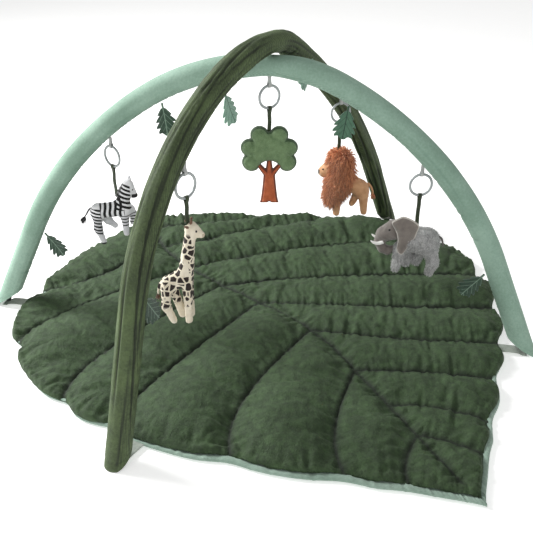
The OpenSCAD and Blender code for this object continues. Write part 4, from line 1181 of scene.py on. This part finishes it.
crown_felt = felt_finish("crown_felt", "4a663f", "7f9a6d", 420.0, 0.0014, 0.2, outlined("2f4a2b"))
trunk_felt = felt_finish("trunk_felt", "a1441e", "cf7040", 420.0, 0.0012, 0.15, outlined("5f2a17"))
crown = pillow("tree_crown_felt", "tree", crown_plan, (-0.054, -0.120), (0.055, -0.030), 0.0012, 0.0120,
               0.013, crown_felt, 0.0006)
dressed(crown, "tree", ["tree_crown"])
trunk = pillow("tree_trunk_felt", "tree", trunk_plan, (-0.028, -0.181), (0.029, -0.086), 0.0009, 0.0080,
               0.009, trunk_felt, 0.0002)
dressed(trunk, "tree", ["tree_trunk"])

# ---- Plush animals: how a stuffed body is made ---------------------------------
# Each animal is sewn plush over fibre fill: rounded limbs that run into one
# another, and on the elephant a short pile that catches light.


def stuffed(toy, name, limbs, finish, melt=0.0035, cell=0.0017, dents=()):
    """The skin of a set of tapering limbs (x, y, z, radius at each end) melted into one body. The field is
    the smooth least distance to the limbs, sampled on a grid; each grid cube that the skin crosses gets
    one point, the mean of its edge crossings, and neighbouring cubes share a face. A last step draws
    each point onto the skin."""
    ends = np.array(limbs, float) / 1000
    a, b, ra, rb = ends[:, 0, :3], ends[:, 1, :3], ends[:, 0, 3], ends[:, 1, 3]

    def field(points):
        total = 0
        for pa, pb, r0, r1 in zip(a, b, ra, rb):
            along_limb = pb - pa
            u = np.clip(((points - pa) @ along_limb) / max(along_limb @ along_limb, 1e-12), 0, 1)
            off = points - pa - u[..., None] * along_limb
            total = (total + np.exp(-np.clip(np.sqrt((off ** 2).sum(-1)) - (r0 + (r1 - r0) * u), -0.06, 0.06)
                                    / melt))
        value = -melt * np.log(total)
        for dx, dz, rr, deep in dents:
            value = (value + deep * np.exp(-(((points[..., 0] - dx) ** 2 + (points[..., 2] - dz) ** 2)
                                             / rr ** 2)))
        return value

    low = np.minimum(a - ra[:, None], b - rb[:, None]).min(0) - 3 * cell
    high = np.maximum(a + ra[:, None], b + rb[:, None]).max(0) + 3 * cell
    axes = [np.arange(lo, hi, cell) for lo, hi in zip(low, high)]
    points = np.stack(np.meshgrid(*axes, indexing="ij"), -1)
    value = field(points)
    shape = np.array(value.shape)
    cubes = shape - 1
    total, hits = np.zeros((*cubes, 3)), np.zeros(cubes)
    crossings = []
    for axis in range(3):
        near = [slice(None)] * 3
        far = [slice(None)] * 3
        near[axis], far[axis] = slice(0, -1), slice(1, None)
        v0, v1 = value[tuple(near)], value[tuple(far)]
        cross = (v0 < 0) != (v1 < 0)
        share = np.where(cross, v0 / np.where(cross, v0 - v1, 1), 0)
        at = points[tuple(near)].copy()
        at[..., axis] += share * cell
        crossings.append((axis, cross, v0 < 0))
        others = [o for o in range(3) if o != axis]
        for s0 in (0, 1):
            for s1 in (0, 1):
                cut = [slice(None)] * 3
                cut[others[0]] = slice(s0, s0 + cubes[others[0]])
                cut[others[1]] = slice(s1, s1 + cubes[others[1]])
                c = cross[tuple(cut)]
                total += at[tuple(cut)] * c[..., None]
                hits += c
    used_cubes = hits > 0
    number_of = -np.ones(cubes, int)
    number_of[used_cubes] = np.arange(used_cubes.sum())
    skin = total[used_cubes] / hits[used_cubes][:, None]
    faces = []
    for axis, cross, inside_first in crossings:
        o0, o1 = [(1, 2), (2, 0), (0, 1)][axis]
        idx = np.argwhere(cross)
        idx = idx[(idx[:, o0] > 0) & (idx[:, o1] > 0) & (idx[:, o0] < cubes[o0]) & (idx[:, o1] < cubes[o1])]
        step0, step1 = np.eye(3, dtype=int)[o0], np.eye(3, dtype=int)[o1]
        quad = np.stack([number_of[tuple((idx - step0 - step1).T)], number_of[tuple((idx - step1).T)],
                         number_of[tuple(idx.T)], number_of[tuple((idx - step0).T)]], 1)
        flip = ~inside_first[tuple(idx.T)]
        quad[flip] = quad[flip][:, ::-1]
        faces.append(quad)
    faces = np.concatenate(faces)
    e = 1e-4
    for _ in range(2):
        v = field(skin)
        slope = np.stack([(field(skin + e * np.eye(3)[k]) - v) / e for k in range(3)], -1)
        skin = skin - slope * (v / np.maximum((slope ** 2).sum(1), 0.2))[:, None] * 0.9
    normal = slope / np.maximum(np.linalg.norm(slope, axis=1, keepdims=True), 1e-9)
    lump = (0.00045 * (np.sin(skin[:, 0] * 410 + 2 * np.sin(skin[:, 2] * 230))
                       * np.sin(skin[:, 2] * 370 + 2 * np.sin(skin[:, 1] * 300))))
    skin = skin + normal * lump[:, None]
    piece = surfaced(name, (toy_place(toy, skin), faces), finish)
    for k, label in enumerate(("toy_x", "toy_y", "toy_z")):
        noted(piece, label, skin[:, k])
    return piece, skin, normal


def hairs(toy, name, roots, aims, lengths, width, finish, droop=0.0, sides=3, bend=3, seed=1, base_tint=None):
    """Tufts of pile as thin curved cones, all worked out at once: each starts at a root, heads along its
    aim and droops with the square of the way out, tapering to a point. Rings of a few points, closed by
    a tip."""
    count = len(roots)
    aims = aims / np.maximum(np.linalg.norm(aims, axis=1, keepdims=True), 1e-9)
    helper = np.where(np.abs(aims[:, 2:3]) < 0.9, np.array([[0, 0, 1.0]]), np.array([[1.0, 0, 0]]))
    u = np.cross(aims, helper)
    u /= np.linalg.norm(u, axis=1, keepdims=True)
    v = np.cross(aims, u)
    steps = np.linspace(0, 1, bend + 1)[:-1]
    angle = np.linspace(0, 2 * np.pi, sides, endpoint=False)
    centre = (roots[:, None] + aims[:, None] * (steps[None, :, None] * lengths[:, None, None])
              + np.array([0, 0, -1.0]) * (droop * steps ** 2)[None, :, None] * lengths[:, None, None])
    thick = (width * (1 - 0.55 * steps ** 1.5))
    ring = (centre[:, :, None]
            + thick[None, :, None, None]
            * (np.cos(angle)[None, None, :, None] * u[:, None, None]
               + np.sin(angle)[None, None, :, None] * v[:, None, None]))
    tip = roots + aims * lengths[:, None] + np.array([0, 0, -1.0]) * droop * lengths[:, None]
    per = bend * sides + 1
    points = np.concatenate([ring.reshape(count, bend * sides, 3), tip[:, None]], 1)
    k = np.arange(sides)
    nk = (k + 1) % sides
    side_faces = (np.concatenate([np.stack([r * sides + k, r * sides + nk, (r + 1) * sides + nk,
                                            (r + 1) * sides + k], 1) for r in range(bend - 1)])
                  if bend > 1 else np.zeros((0, 4), int))
    tip_faces = np.stack([(bend - 1) * sides + k, (bend - 1) * sides + nk, np.full(sides, bend * sides)], 1)
    starts = np.arange(count)[:, None, None] * per
    quads = (side_faces[None] + starts).reshape(-1, 4) if len(side_faces) else np.zeros((0, 4), int)
    tris = (tip_faces[None] + starts).reshape(-1, 3)
    root_faces = (np.arange(sides)[::-1][None] + np.arange(count)[:, None] * per)
    piece = surfaced(name, (toy_place(toy, points.reshape(-1, 3)),
                            [*quads.tolist(), *tris.tolist(), *root_faces.tolist()]), finish)
    out = np.tile(np.append(np.repeat(steps, sides), 1.0), count)
    noted(piece, "out_share", out)
    tint = np.random.default_rng(seed).uniform(0, 1, count) if base_tint is None else base_tint
    noted(piece, "tuft_tint", np.repeat(tint, per))
    return piece


def bead_pair(toy, name, x, z, y, size=0.0021):
    """Two polished domes, one on each cheek, as rings of a half ball squashed to a button."""
    lat, lon = np.linspace(0, np.pi, 9), np.linspace(0, 2 * np.pi, 17)[:-1]
    ball = (np.stack([np.sin(lat)[:, None] * np.cos(lon), 0.6 * np.cos(lat)[:, None] * np.ones(16),
                      np.sin(lat)[:, None] * np.sin(lon)], -1) * size)
    both = np.concatenate([ball + [x, -y, z], ball + [x, y, z]])
    i, k = np.meshgrid(np.arange(8), np.arange(16), indexing="ij")
    one = np.stack([i * 16 + k, i * 16 + (k + 1) % 16, (i + 1) * 16 + (k + 1) % 16, (i + 1) * 16 + k],
                   -1).reshape(-1, 4)
    piece = surfaced(name, (toy_place(toy, both.reshape(-1, 3)), np.concatenate([one, one + 144])),
                     bead_finish)
    closed_up(piece)
    return piece


bead_finish = hard_finish("bead_black", "050505", "0e0e0f", 0.12, 0.0, 500.0, 0.00003, 0.6)


def local(t, label):
    return place(t, "ShaderNodeAttribute", {"attribute_name": label}).outputs["Fac"]


def band_mask(t, value, low, high, soft=0.0008):
    """1 while a value lies between two bounds, with soft edges."""
    rise = place(t, "ShaderNodeMapRange", {"clamp": True}, Value=value, From_Min=low - soft,
                 From_Max=low + soft).outputs[0]
    fall = place(t, "ShaderNodeMapRange", {"clamp": True}, Value=value, From_Min=high - soft,
                 From_Max=high + soft).outputs[0]
    return sums(t, "MULTIPLY", rise, sums(t, "SUBTRACT", 1.0, fall))


def short_fur(skin, normal, count, length, seed, keep=None, comb=(0, 0, -0.8)):
    """Roots, aims and lengths for a short pile picked by seeded chance over a skin, combed one way."""
    r = np.random.default_rng(seed)
    pick = r.integers(0, len(skin), count)
    if keep is not None:
        pick = pick[keep(skin[pick])]
    aims = normal[pick] + np.array(comb) + r.normal(0, 0.35, (len(pick), 3))
    roots = skin[pick] + r.normal(0, 0.0005, (len(pick), 3)) - normal[pick] * 0.0006
    return roots, aims, length * r.uniform(0.7, 1.3, len(pick)), pick

# ---- Zebra -------------------------------------------------------------------
# White plush with black stripes set into the neck, back and thigh, a clipped
# black-and-white mane, a grey belly and muzzle, and a cord tail with a tuft.


def zebra_marks(t, colour, fibres):
    """Stripes from the toy's own x and z: upright on the barrel, square to the neck, level on the hind
    legs."""
    x, z, wob = local(t, "toy_x"), local(t, "toy_z"), sums(t, "MULTIPLY", sums(t, "SUBTRACT", fibres, 0.5),
                                                           0.0016)
    wavy = sums(t, "MULTIPLY", sums(t, "SINE", sums(t, "MULTIPLY", z, 190.0)), 0.0014)

    def ruled(value, spacing, thick):
        cell = sums(t, "ABSOLUTE",
                    sums(t, "SUBTRACT", sums(t, "FRACT",
                                             sums(t, "MULTIPLY", sums(t, "ADD", value, wob), 1 / spacing)),
                         0.5))
        return sums(t, "LESS_THAN", cell, thick / spacing / 2)

    barrel = sums(t, "MULTIPLY", ruled(sums(t, "ADD", x, wavy), 0.0098, 0.0050),
                  sums(t, "MULTIPLY", band_mask(t, x, -0.034, 0.012), band_mask(t, z, -0.100, -0.060)))
    up_neck = sums(t, "ADD", sums(t, "MULTIPLY", x, 0.40), sums(t, "MULTIPLY", z, 0.92))
    neck = sums(t, "MULTIPLY", ruled(up_neck, 0.0080, 0.0044),
                sums(t, "MULTIPLY", band_mask(t, z, -0.086, -0.036), band_mask(t, x, -0.006, 0.0265)))
    haunch = sums(t, "MULTIPLY", ruled(sums(t, "ADD", z, sums(t, "MULTIPLY", x, 0.25)), 0.0068, 0.0036),
                  sums(t, "MULTIPLY", band_mask(t, z, -0.134, -0.080), sums(t, "LESS_THAN", x, -0.033)))
    forearm = sums(t, "MULTIPLY", ruled(z, 0.0068, 0.0026),
                   sums(t, "MULTIPLY", band_mask(t, z, -0.124, -0.098), sums(t, "GREATER_THAN", x, 0.004)))
    stripes = sums(t, "MAXIMUM", sums(t, "MAXIMUM", barrel, neck), sums(t, "MAXIMUM", haunch, forearm))
    greyed = marked(t, colour, sums(t, "MULTIPLY", band_mask(t, z, -0.30, -0.099, 0.004), 0.35),
                    shade("a9abb0"))
    striped = marked(t, greyed, stripes, shade("060607"))
    muzzle = sums(t, "MULTIPLY", sums(t, "GREATER_THAN", x, 0.0285), band_mask(t, z, -0.074, -0.0575))
    hooves = sums(t, "MAXIMUM", sums(t, "LESS_THAN", z, -0.1510), 0.0)
    return marked(t, striped, sums(t, "MAXIMUM", muzzle, hooves), shade("1c1c1f"))


zebra_limbs = [[[-38, 0, -88, 14.5], [12, 0, -88, 14.5]], [[8, 0, -80, 13.5], [21, 0, -45, 9]],
               [[25, 0, -41, 8.6], [34.5, 0, -62, 6]],
               [[-40, -6, -96, 9.5], [-41, -9, -122, 6.3]], [[-41, -9, -122, 6.3], [-33, -9, -151, 5.6]],
               [[-30, 6, -98, 8.5], [-21, 9, -113, 6.3]],
               [[-21, 9, -113, 6.3], [-8, 10, -127, 5.6]], [[12, -6, -96, 8], [12, -8, -138, 5.6]],
               [[25, 6, -94, 8], [31, 8, -110, 6.2]],
               [[31, 8, -110, 6.2], [27, 8, -122, 5.5]], [[24, 4, -35, 2.6], [28, 6.5, -26.5, 2.0]],
               [[24, -4, -35, 2.6], [28, -6.5, -26.5, 2.0]]]
zebra_plush = felt_finish("zebra_plush", "dcdde1", "fbfbfc", 1100.0, 0.0008, 0.08, zebra_marks)
zebra, skin, normal = stuffed("zebra", "zebra_body_plush", zebra_limbs, zebra_plush)
dressed(zebra, "zebra", ["zebra_body"])


def tufted(name, dark, light, by="tuft_tint", sheen=0.3):
    """Fur whose shade varies tuft by tuft, paler toward the tips."""
    made = bpy.data.materials.new(name)
    made.use_nodes = True
    t = nodes_of(made)
    tint, out = local(t, by), local(t, "out_share")
    mix = sums(t, "ADD", sums(t, "MULTIPLY", tint, 0.6), sums(t, "MULTIPLY", out, 0.4))
    colour = ramped(t, mix, (0.1, shade(dark)), (0.85, shade(light)))
    grain = place(t, "ShaderNodeTexNoise", Vector=place(t, "ShaderNodeTexCoord").outputs["Object"],
                  Scale=1500.0, Detail=2.0)
    bump = place(t, "ShaderNodeBump", Strength=0.6, Distance=0.0004, Height=grain.outputs["Fac"])
    hair = place(t, "ShaderNodeBsdfPrincipled", Base_Color=colour,
                 Roughness=ramped(t, grain.outputs["Fac"], (0.2, 0.55), (0.8, 0.85)), Normal=bump.outputs[0])
    hair.inputs["Sheen Weight"].default_value = sheen
    place(t, "ShaderNodeOutputMaterial", Surface=hair.outputs[0])
    return made


r = np.random.default_rng(11)
crest = np.linspace(0, 1, 900)
crest_line = (np.stack([1 + 23 * crest + 1.5 * np.sin(np.pi * crest), 0 * crest,
                        -63 + 30 * crest + 4 * np.sin(np.pi * crest)], -1) / 1000)
crest_roots = (crest_line
               + np.column_stack([r.normal(0, 0.0006, 900), r.uniform(-0.0022, 0.0022, 900),
                                  r.normal(0, 0.0006, 900)]))
crest_aims = np.column_stack([np.full(900, -0.85), r.normal(0, 0.25, 900),
                              np.full(900, 0.65) + r.normal(0, 0.15, 900)])
dashes = (np.sin(crest * 40) > 0.1) * 0.85 + r.uniform(0, 0.15, 900)
mane_fur = tufted("zebra_mane_fur", "0c0c0e", "e6e6e8")
mane = hairs("zebra", "zebra_mane_tufts", crest_roots, crest_aims, r.uniform(0.0048, 0.0066, 900), 0.00055,
             mane_fur, 0.1, seed=2, base_tint=np.where(dashes > 0.5, 0.9, 0.0))
dressed(mane, "zebra", ["zebra_mane"])


def curved_tube(toy, name, line, radii, finish, around=12):
    """A round cord along a line in the toy's own space, its radius given at each point, closed by its end
    points."""
    line, radii = np.asarray(line, float), np.asarray(radii, float)
    tangent = np.gradient(line, axis=0)
    tangent /= np.linalg.norm(tangent, axis=1, keepdims=True)
    side = np.cross(tangent, [0, 1.0, 0])
    side /= np.maximum(np.linalg.norm(side, axis=1, keepdims=True), 1e-9)
    lift = np.cross(side, tangent)
    angle = np.linspace(0, 2 * np.pi, around, endpoint=False)
    ring = (line[:, None] + radii[:, None, None]
            * (np.cos(angle)[None, :, None] * side[:, None] + np.sin(angle)[None, :, None] * lift[:, None]))
    rows = len(line)
    i, k = np.meshgrid(np.arange(rows - 1), np.arange(around), indexing="ij")
    nk = (k + 1) % around
    quads = np.stack([i * around + k, i * around + nk, (i + 1) * around + nk, (i + 1) * around + k],
                     -1).reshape(-1, 4)
    ends = [list(range(around)), list(range((rows - 1) * around, rows * around))]
    piece = surfaced(name, (toy_place(toy, ring.reshape(-1, 3)), [*quads.tolist(), *ends]), finish)
    for kk, label in enumerate(("toy_x", "toy_y", "toy_z")):
        noted(piece, label, ring.reshape(-1, 3)[:, kk])
    closed_up(piece)
    return piece


def arc_line(*points, n=24):
    """A smooth line through given points, by a curve that passes each in turn, in metres from millimetres."""
    p = np.array(points, float) / 1000
    p = np.vstack([2 * p[0] - p[1], p, 2 * p[-1] - p[-2]])
    out = []
    for k in range(len(p) - 3):
        u = np.linspace(0, 1, n, endpoint=k == len(p) - 4)[:, None]
        out.append(0.5 * ((2 * p[k + 1]) + (p[k + 2] - p[k]) * u
                          + (2 * p[k] - 5 * p[k + 1] + 4 * p[k + 2] - p[k + 3]) * u ** 2
                          + (3 * p[k + 1] - p[k] - 3 * p[k + 2] + p[k + 3]) * u ** 3))
    return np.vstack(out)


def tuft_at(toy, name, at, aim, count, length, spread, width, finish, seed, droop=0.3):
    """A round bunch of hairs from one place, heading one way."""
    rr = np.random.default_rng(seed)
    roots = np.array(at) / 1000 + rr.normal(0, spread, (count, 3))
    aims = np.array(aim, float) + rr.normal(0, 0.28, (count, 3))
    return hairs(toy, name, roots, aims, length * rr.uniform(0.7, 1.15, count), width, finish, droop,
                 seed=seed)


black_fur = tufted("black_fur", "0a0a0c", "2c2c30")
cord_line = arc_line((-46, 0, -80), (-54, 0, -84), (-60, 0, -93), (-65, 0, -100))
tail = curved_tube("zebra", "zebra_tail_cord", cord_line, np.linspace(0.0022, 0.0013, len(cord_line)),
                   felt_finish("tail_cord", "2a2a2e", "55555a", 1400.0))
dressed(tail, "zebra", ["zebra_tail"])
dressed(tuft_at("zebra", "zebra_tail_tuft", (-64, 0, -99), (-0.55, 0, -0.8), 160, 0.0115, 0.0009, 0.0005,
                black_fur, 21), "zebra", [])
dressed(bead_pair("zebra", "zebra_bead_eyes", 0.0305, -0.0475, 0.0078), "zebra", ["zebra_eyes"])

# ---- Giraffe -----------------------------------------------------------------
# Cream plush with dark brown rounded patches, plain face and lower legs, small
# brown horns and ears, and a thin tail with a brown tuft.


def giraffe_marks(t, colour, fibres):
    """Patches: the cells of a cell pattern whose borders stay cream, kept to the neck, body and upper
    legs."""
    x, z = local(t, "toy_x"), local(t, "toy_z")
    where = place(t, "ShaderNodeCombineXYZ", X=x, Y=local(t, "toy_y"), Z=z)
    border = place(t, "ShaderNodeTexVoronoi", {"feature": "DISTANCE_TO_EDGE"}, Vector=where.outputs[0],
                   Scale=92.0, Randomness=0.75).outputs["Distance"]
    edge = sums(t, "ADD", border, sums(t, "MULTIPLY", sums(t, "SUBTRACT", fibres, 0.5), 0.10))
    patch = sums(t, "MULTIPLY", sums(t, "GREATER_THAN", edge, 0.115),
                 sums(t, "MULTIPLY", band_mask(t, z, -0.186, -0.060, 0.003), 1.0))
    face = sums(t, "MULTIPLY", sums(t, "LESS_THAN", x, 0.0045), 1.0)
    upper = sums(t, "MAXIMUM", face, sums(t, "LESS_THAN", z, -0.080))
    brown = marked(t, colour, sums(t, "MULTIPLY", patch, upper), shade("24150f"))
    nose = sums(t, "MULTIPLY", sums(t, "GREATER_THAN", x, 0.0215), sums(t, "LESS_THAN", z, -0.060))
    return marked(t, brown, sums(t, "MULTIPLY", nose, 0.5), shade("9a8468"))


giraffe_limbs = [[[6, 0, -50, 9], [20, 0, -63, 5.8]], [[4, 0, -56, 8], [-6, 0, -122, 12]],
                 [[-9, 0, -136, 14], [-36, 0, -149, 13.5]],
                 [[-40, -7, -158, 8.5], [-42, -8, -185, 6.5]], [[-42, -8, -185, 6.5], [-31, -9, -213, 5.6]],
                 [[-30, 8, -158, 8], [-17, 9, -213, 5.6]],
                 [[-6, -7, -152, 8], [-6, -9, -214, 5.7]], [[-4, 8, -150, 8], [-2, 9, -213, 5.6]]]
giraffe_plush = felt_finish("giraffe_plush", "ddd0b6", "f8efdc", 1100.0, 0.0008, 0.08, giraffe_marks)
giraffe, skin, normal = stuffed("giraffe", "giraffe_body_plush", giraffe_limbs, giraffe_plush, 0.0030)
dressed(giraffe, "giraffe", ["giraffe_body"])
brown_felt = felt_finish("brown_felt", "5a3a26", "7d5638", 1200.0)
horns, _, _ = stuffed("giraffe", "giraffe_horns_and_ears",
                      [[[5, -3.5, -43, 2.0], [6, -4.5, -36, 1.9]], [[5, 3.5, -43, 2.0], [6, 4.5, -36, 1.9]],
                                                            [[0, -7, -47, 2.2], [-4, -11.5, -43, 1.5]],
                       [[0, 7, -47, 2.2], [-4, 11.5, -43, 1.5]]], brown_felt, 0.0012, 0.0011)
dressed(horns, "giraffe", [])
cord_line = arc_line((-47, 0, -146), (-51, 0, -150), (-53, 0, -160), (-54, 0, -168))
tail = curved_tube("giraffe", "giraffe_tail_cord", cord_line, np.linspace(0.0022, 0.0015, len(cord_line)),
                   giraffe_plush)
dressed(tail, "giraffe", ["giraffe_tail"])
brown_fur = tufted("brown_fur", "3a2416", "7a5236")
dressed(tuft_at("giraffe", "giraffe_tail_tuft", (-54, 0, -167), (-0.1, 0, -1), 90, 0.0085, 0.0007, 0.0005,
                brown_fur, 22, 0.1), "giraffe", [])
dressed(bead_pair("giraffe", "giraffe_bead_eyes", 0.0125, -0.0535, 0.0083), "giraffe", ["giraffe_eyes"])

# ---- Lion ----------------------------------------------------------------------
# Tan plush, with a thick rust mane of long combed fur round the face and down
# the chest, a black felt nose, and a tail with a darker tuft.


def lion_marks(t, colour, fibres):
    x, z = local(t, "toy_x"), local(t, "toy_z")
    mouth = sums(t, "MULTIPLY", sums(t, "LESS_THAN", x, -0.034), sums(t, "LESS_THAN", z, -0.1085))
    pale = marked(t, colour, sums(t, "MULTIPLY", mouth, 0.6), shade("ead2b4"))
    nose = sums(t, "MULTIPLY", sums(t, "LESS_THAN", x, -0.0375), band_mask(t, z, -0.1105, -0.1015))
    return marked(t, pale, sums(t, "MULTIPLY", nose, 0.95), shade("17110f"))


lion_limbs = [[[-12, 0, -98, 19], [-29, 0, -107, 12.5]], [[0, 0, -118, 19], [49, 0, -141, 18]],
              [[56, -8, -151, 10.5], [59, -9, -191, 6.8]],
              [[44, 8, -154, 9.5], [33, 10, -181, 6.4]], [[4, -8, -145, 9.5], [1, -9, -197, 6.8]],
              [[-4, 8, -145, 9.5], [-9, 10, -185, 6.4]]]
tan_plush = felt_finish("tan_plush", "bd8558", "e6b489", 1000.0, 0.0009, 0.15, lion_marks)
lion, skin, normal = stuffed("lion", "lion_body_plush", lion_limbs, tan_plush)
dressed(lion, "lion", ["lion_body"])
mane_core = [[[6, 0, -80, 22], [8, 0, -116, 25]], [[6, 0, -118, 23], [-6, 0, -158, 12]]]
rust_fur = tufted("mane_fur", "9c4520", "f0a878")
under_fur = felt_finish("mane_base", "9a4420", "bf6a3c", 800.0, 0.0012)
base, base_skin, base_normal = stuffed("lion", "lion_mane_base", mane_core, under_fur, 0.004, 0.0022)
r = np.random.default_rng(31)
pick = r.integers(0, len(base_skin), 6500)
roots, out_from = base_skin[pick], base_normal[pick]
pick_ok = ~((roots[:, 0] < -0.008) & (np.abs(roots[:, 1]) < 0.013) & (roots[:, 2] > -0.116) & (roots[:,
        2] < -0.085))
roots, out_from = roots[pick_ok], out_from[pick_ok]
comb = np.column_stack([-0.55 - 8 * (roots[:, 0] + 0.005).clip(-0.02, 0.03), np.zeros(len(roots)),
                        np.full(len(roots), -0.9) + 14 * (roots[:, 2] + 0.085).clip(0, 0.03)])
aims = out_from * 0.9 + comb * 0.8 + r.normal(0, 0.22, (len(roots), 3))
lengths = r.uniform(0.011, 0.020, len(roots)) * np.where(roots[:, 2] < -0.13, 1.25, 1.0)
mane = hairs("lion", "lion_mane_tufts", roots - out_from * 0.002, aims, lengths, 0.00095, rust_fur, 0.30, 3,
             4, 32)
dressed(base, "lion", ["lion_mane"])
dressed(mane, "lion", [])
cord_line = arc_line((64, 0, -129), (71, 0, -137), (75, 0, -147), (76, 0, -153))
tail = curved_tube("lion", "lion_tail_cord", cord_line, np.linspace(0.0024, 0.0018, len(cord_line)),
                   tan_plush)
dressed(tail, "lion", ["lion_tail"])
dressed(tuft_at("lion", "lion_tail_tuft", (76, 0, -152), (0.05, 0, -1), 120, 0.0120, 0.0009, 0.0006, rust_fur,
                23, 0.1), "lion", [])
dressed(bead_pair("lion", "lion_bead_eyes", -0.0305, -0.0985, 0.0113), "lion", ["lion_eyes"])

# ---- Elephant --------------------------------------------------------------------
# Heathered grey plush body, head and curled trunk in warmer grey felt, flat
# stitched felt ears with a pale piped edge, white felt tusks, and a cord tail.
elephant_limbs = [[[-8, 0, -86, 22], [20, 0, -88, 24]], [[-26, -9, -104, 11], [-31, -11, -144, 7.2]],
                  [[-12, 10, -104, 11], [-13, 12, -143, 7.2]],
                  [[30, -10, -104, 12], [36, -11, -126, 8.5]], [[36, -11, -126, 8.5], [31, -11, -146, 7.2]],
                  [[16, 10, -106, 10], [6, 12, -139, 7.2]]]
grey_plush = felt_finish("grey_plush", "707072", "d0d0ce", 420.0, 0.0014, 0.15)
elephant, skin, normal = stuffed("elephant", "elephant_body_plush", elephant_limbs, grey_plush)
dressed(elephant, "elephant", ["elephant_body"])
roots, aims, lengths, pick = short_fur(skin, normal, 9000, 0.0034, 61)
grey_fur = tufted("grey_fur", "6c6c6e", "f0f0ee")
dressed(hairs("elephant", "elephant_pile", roots, aims, lengths, 0.00042, grey_fur, 0.2, 3, 2, 62),
        "elephant", [])
head_limbs = [[[-40, 0, -72, 19], [-54, 0, -80, 15]], [[-62, 0, -84, 9], [-65, 0, -98, 7.6]],
              [[-65, 0, -98, 7.6], [-58, 0, -111, 6.9]],
              [[-58, 0, -111, 6.9], [-48, 0, -115.5, 6.3]], [[-48, 0, -115.5, 6.3], [-38, 0, -110, 5.6]]]
grey_felt = felt_finish("grey_felt", "5a534e", "7e766f", 900.0, 0.0007, 0.35)
head, skin, normal = stuffed("elephant", "elephant_head_felt", head_limbs, grey_felt, 0.0030)
dressed(head, "elephant", ["elephant_head"])


def ear_ring():
    """The ear's outline: a smooth closed curve through the corners of the pattern piece."""
    corners = [(-42, -49), (-31, -40), (-22, -38), (-8, -42), (2, -51), (0, -63), (-3, -76), (-12, -92),
               (-22, -106), (-30, -100), (-30, -82), (-34, -66)]
    p = np.array(corners, float) / 1000
    n = len(p)
    out = []
    for k in range(n):
        a, b, c, d = p[k - 1], p[k], p[(k + 1) % n], p[(k + 2) % n]
        u = np.linspace(0, 1, 9, endpoint=False)[:, None]
        out.append(0.5 * (2 * b + (c - a) * u + (2 * a - 5 * b + 4 * c - d) * u ** 2
                          + (3 * b - a - 3 * c + d) * u ** 3))
    return np.vstack(out)


ear_felt = felt_finish("ear_felt", "625a54", "877e76", 900.0, 0.0007, 0.35,
                       outlined("c9c3ba", 0.0022, 0.0011))
loop = ear_ring()
middle = loop.mean(0)
shares = np.concatenate([np.linspace(0, 0.9, 12), [0.94, 0.97, 0.985, 1.0]])
for side_name, sign in (("near", -1), ("far", 1)):
    plan = (middle + shares[:, None, None] * (loop - middle) * (1.10 if sign < 0 else 0.80)
            + np.array([0.0, 0.0 if sign < 0 else -0.012]))
    inward = np.linalg.norm(loop - middle, axis=1)[None] * (1 - shares)[:, None]
    cup = ((0.0245 if sign < 0 else 0.0215) + 0.0020 * np.sin(plan[..., 1] * 90)
           - 0.0035 * shares[:, None] ** 2
           + 0.0013 * np.sin(np.arange(len(loop)) / len(loop) * 6.283 * 5)[None] * shares[:, None] ** 3)
    thick = (0.0022 * np.sqrt(np.clip(1 - shares ** 8, 0, 1))[:, None] + 0.0001
             - 0.0006 * np.exp(-((inward - 0.0028) / 0.0008) ** 2))
    thick[-1] = 0
    outer = np.stack([plan[..., 0], sign * (cup + thick), plan[..., 1]], -1)
    inner_face = np.stack([plan[..., 0], sign * (cup - thick), plan[..., 1]], -1)
    grid = np.concatenate([outer, inner_face[::-1]])
    rows, around = grid.shape[:2]
    i, k = np.meshgrid(np.arange(rows - 1), np.arange(around), indexing="ij")
    nk = (k + 1) % around
    quads = np.stack([i * around + k, i * around + nk, (i + 1) * around + nk, (i + 1) * around + k],
                     -1).reshape(-1, 4)
    ear = surfaced("elephant_ear_" + side_name, (toy_place("elephant", grid.reshape(-1, 3)), quads), ear_felt)
    noted(ear, "edge_away", np.concatenate([inward, inward[::-1]]).ravel())
    closed_up(ear)
    dressed(ear, "elephant", ["elephant_ears"] if sign < 0 else [])
tusk_felt = felt_finish("tusk_felt", "e4e2dc", "fbfaf6", 1200.0, 0.0004)
for side_name, sign in (("near", -1), ("far", 1)):
    tusk_line = arc_line((-57, sign * 11, -93), (-66, sign * 12.5, -96), (-74, sign * 13.5, -95),
                         (-80, sign * 14, -91))
    tusk = curved_tube("elephant", "elephant_tusk_" + side_name, tusk_line,
                       0.0034 * np.sqrt(np.clip(1.02 - np.linspace(0, 1, len(tusk_line)) ** 1.8, 0, 1)),
                       tusk_felt)
    dressed(tusk, "elephant", ["elephant_tusks"] if sign < 0 else [])
cord_line = arc_line((42, 0, -79), (47, 0, -82), (50, 0, -90), (51, 0, -97))
tail = curved_tube("elephant", "elephant_tail_cord", cord_line, np.linspace(0.0026, 0.0013, len(cord_line)),
                   felt_finish("tail_grey", "4a4643", "6b6661", 1200.0))
dressed(tail, "elephant", [])
dressed(bead_pair("elephant", "elephant_bead_eyes", -0.0475, -0.0655, 0.0163), "elephant", ["elephant_eyes"])
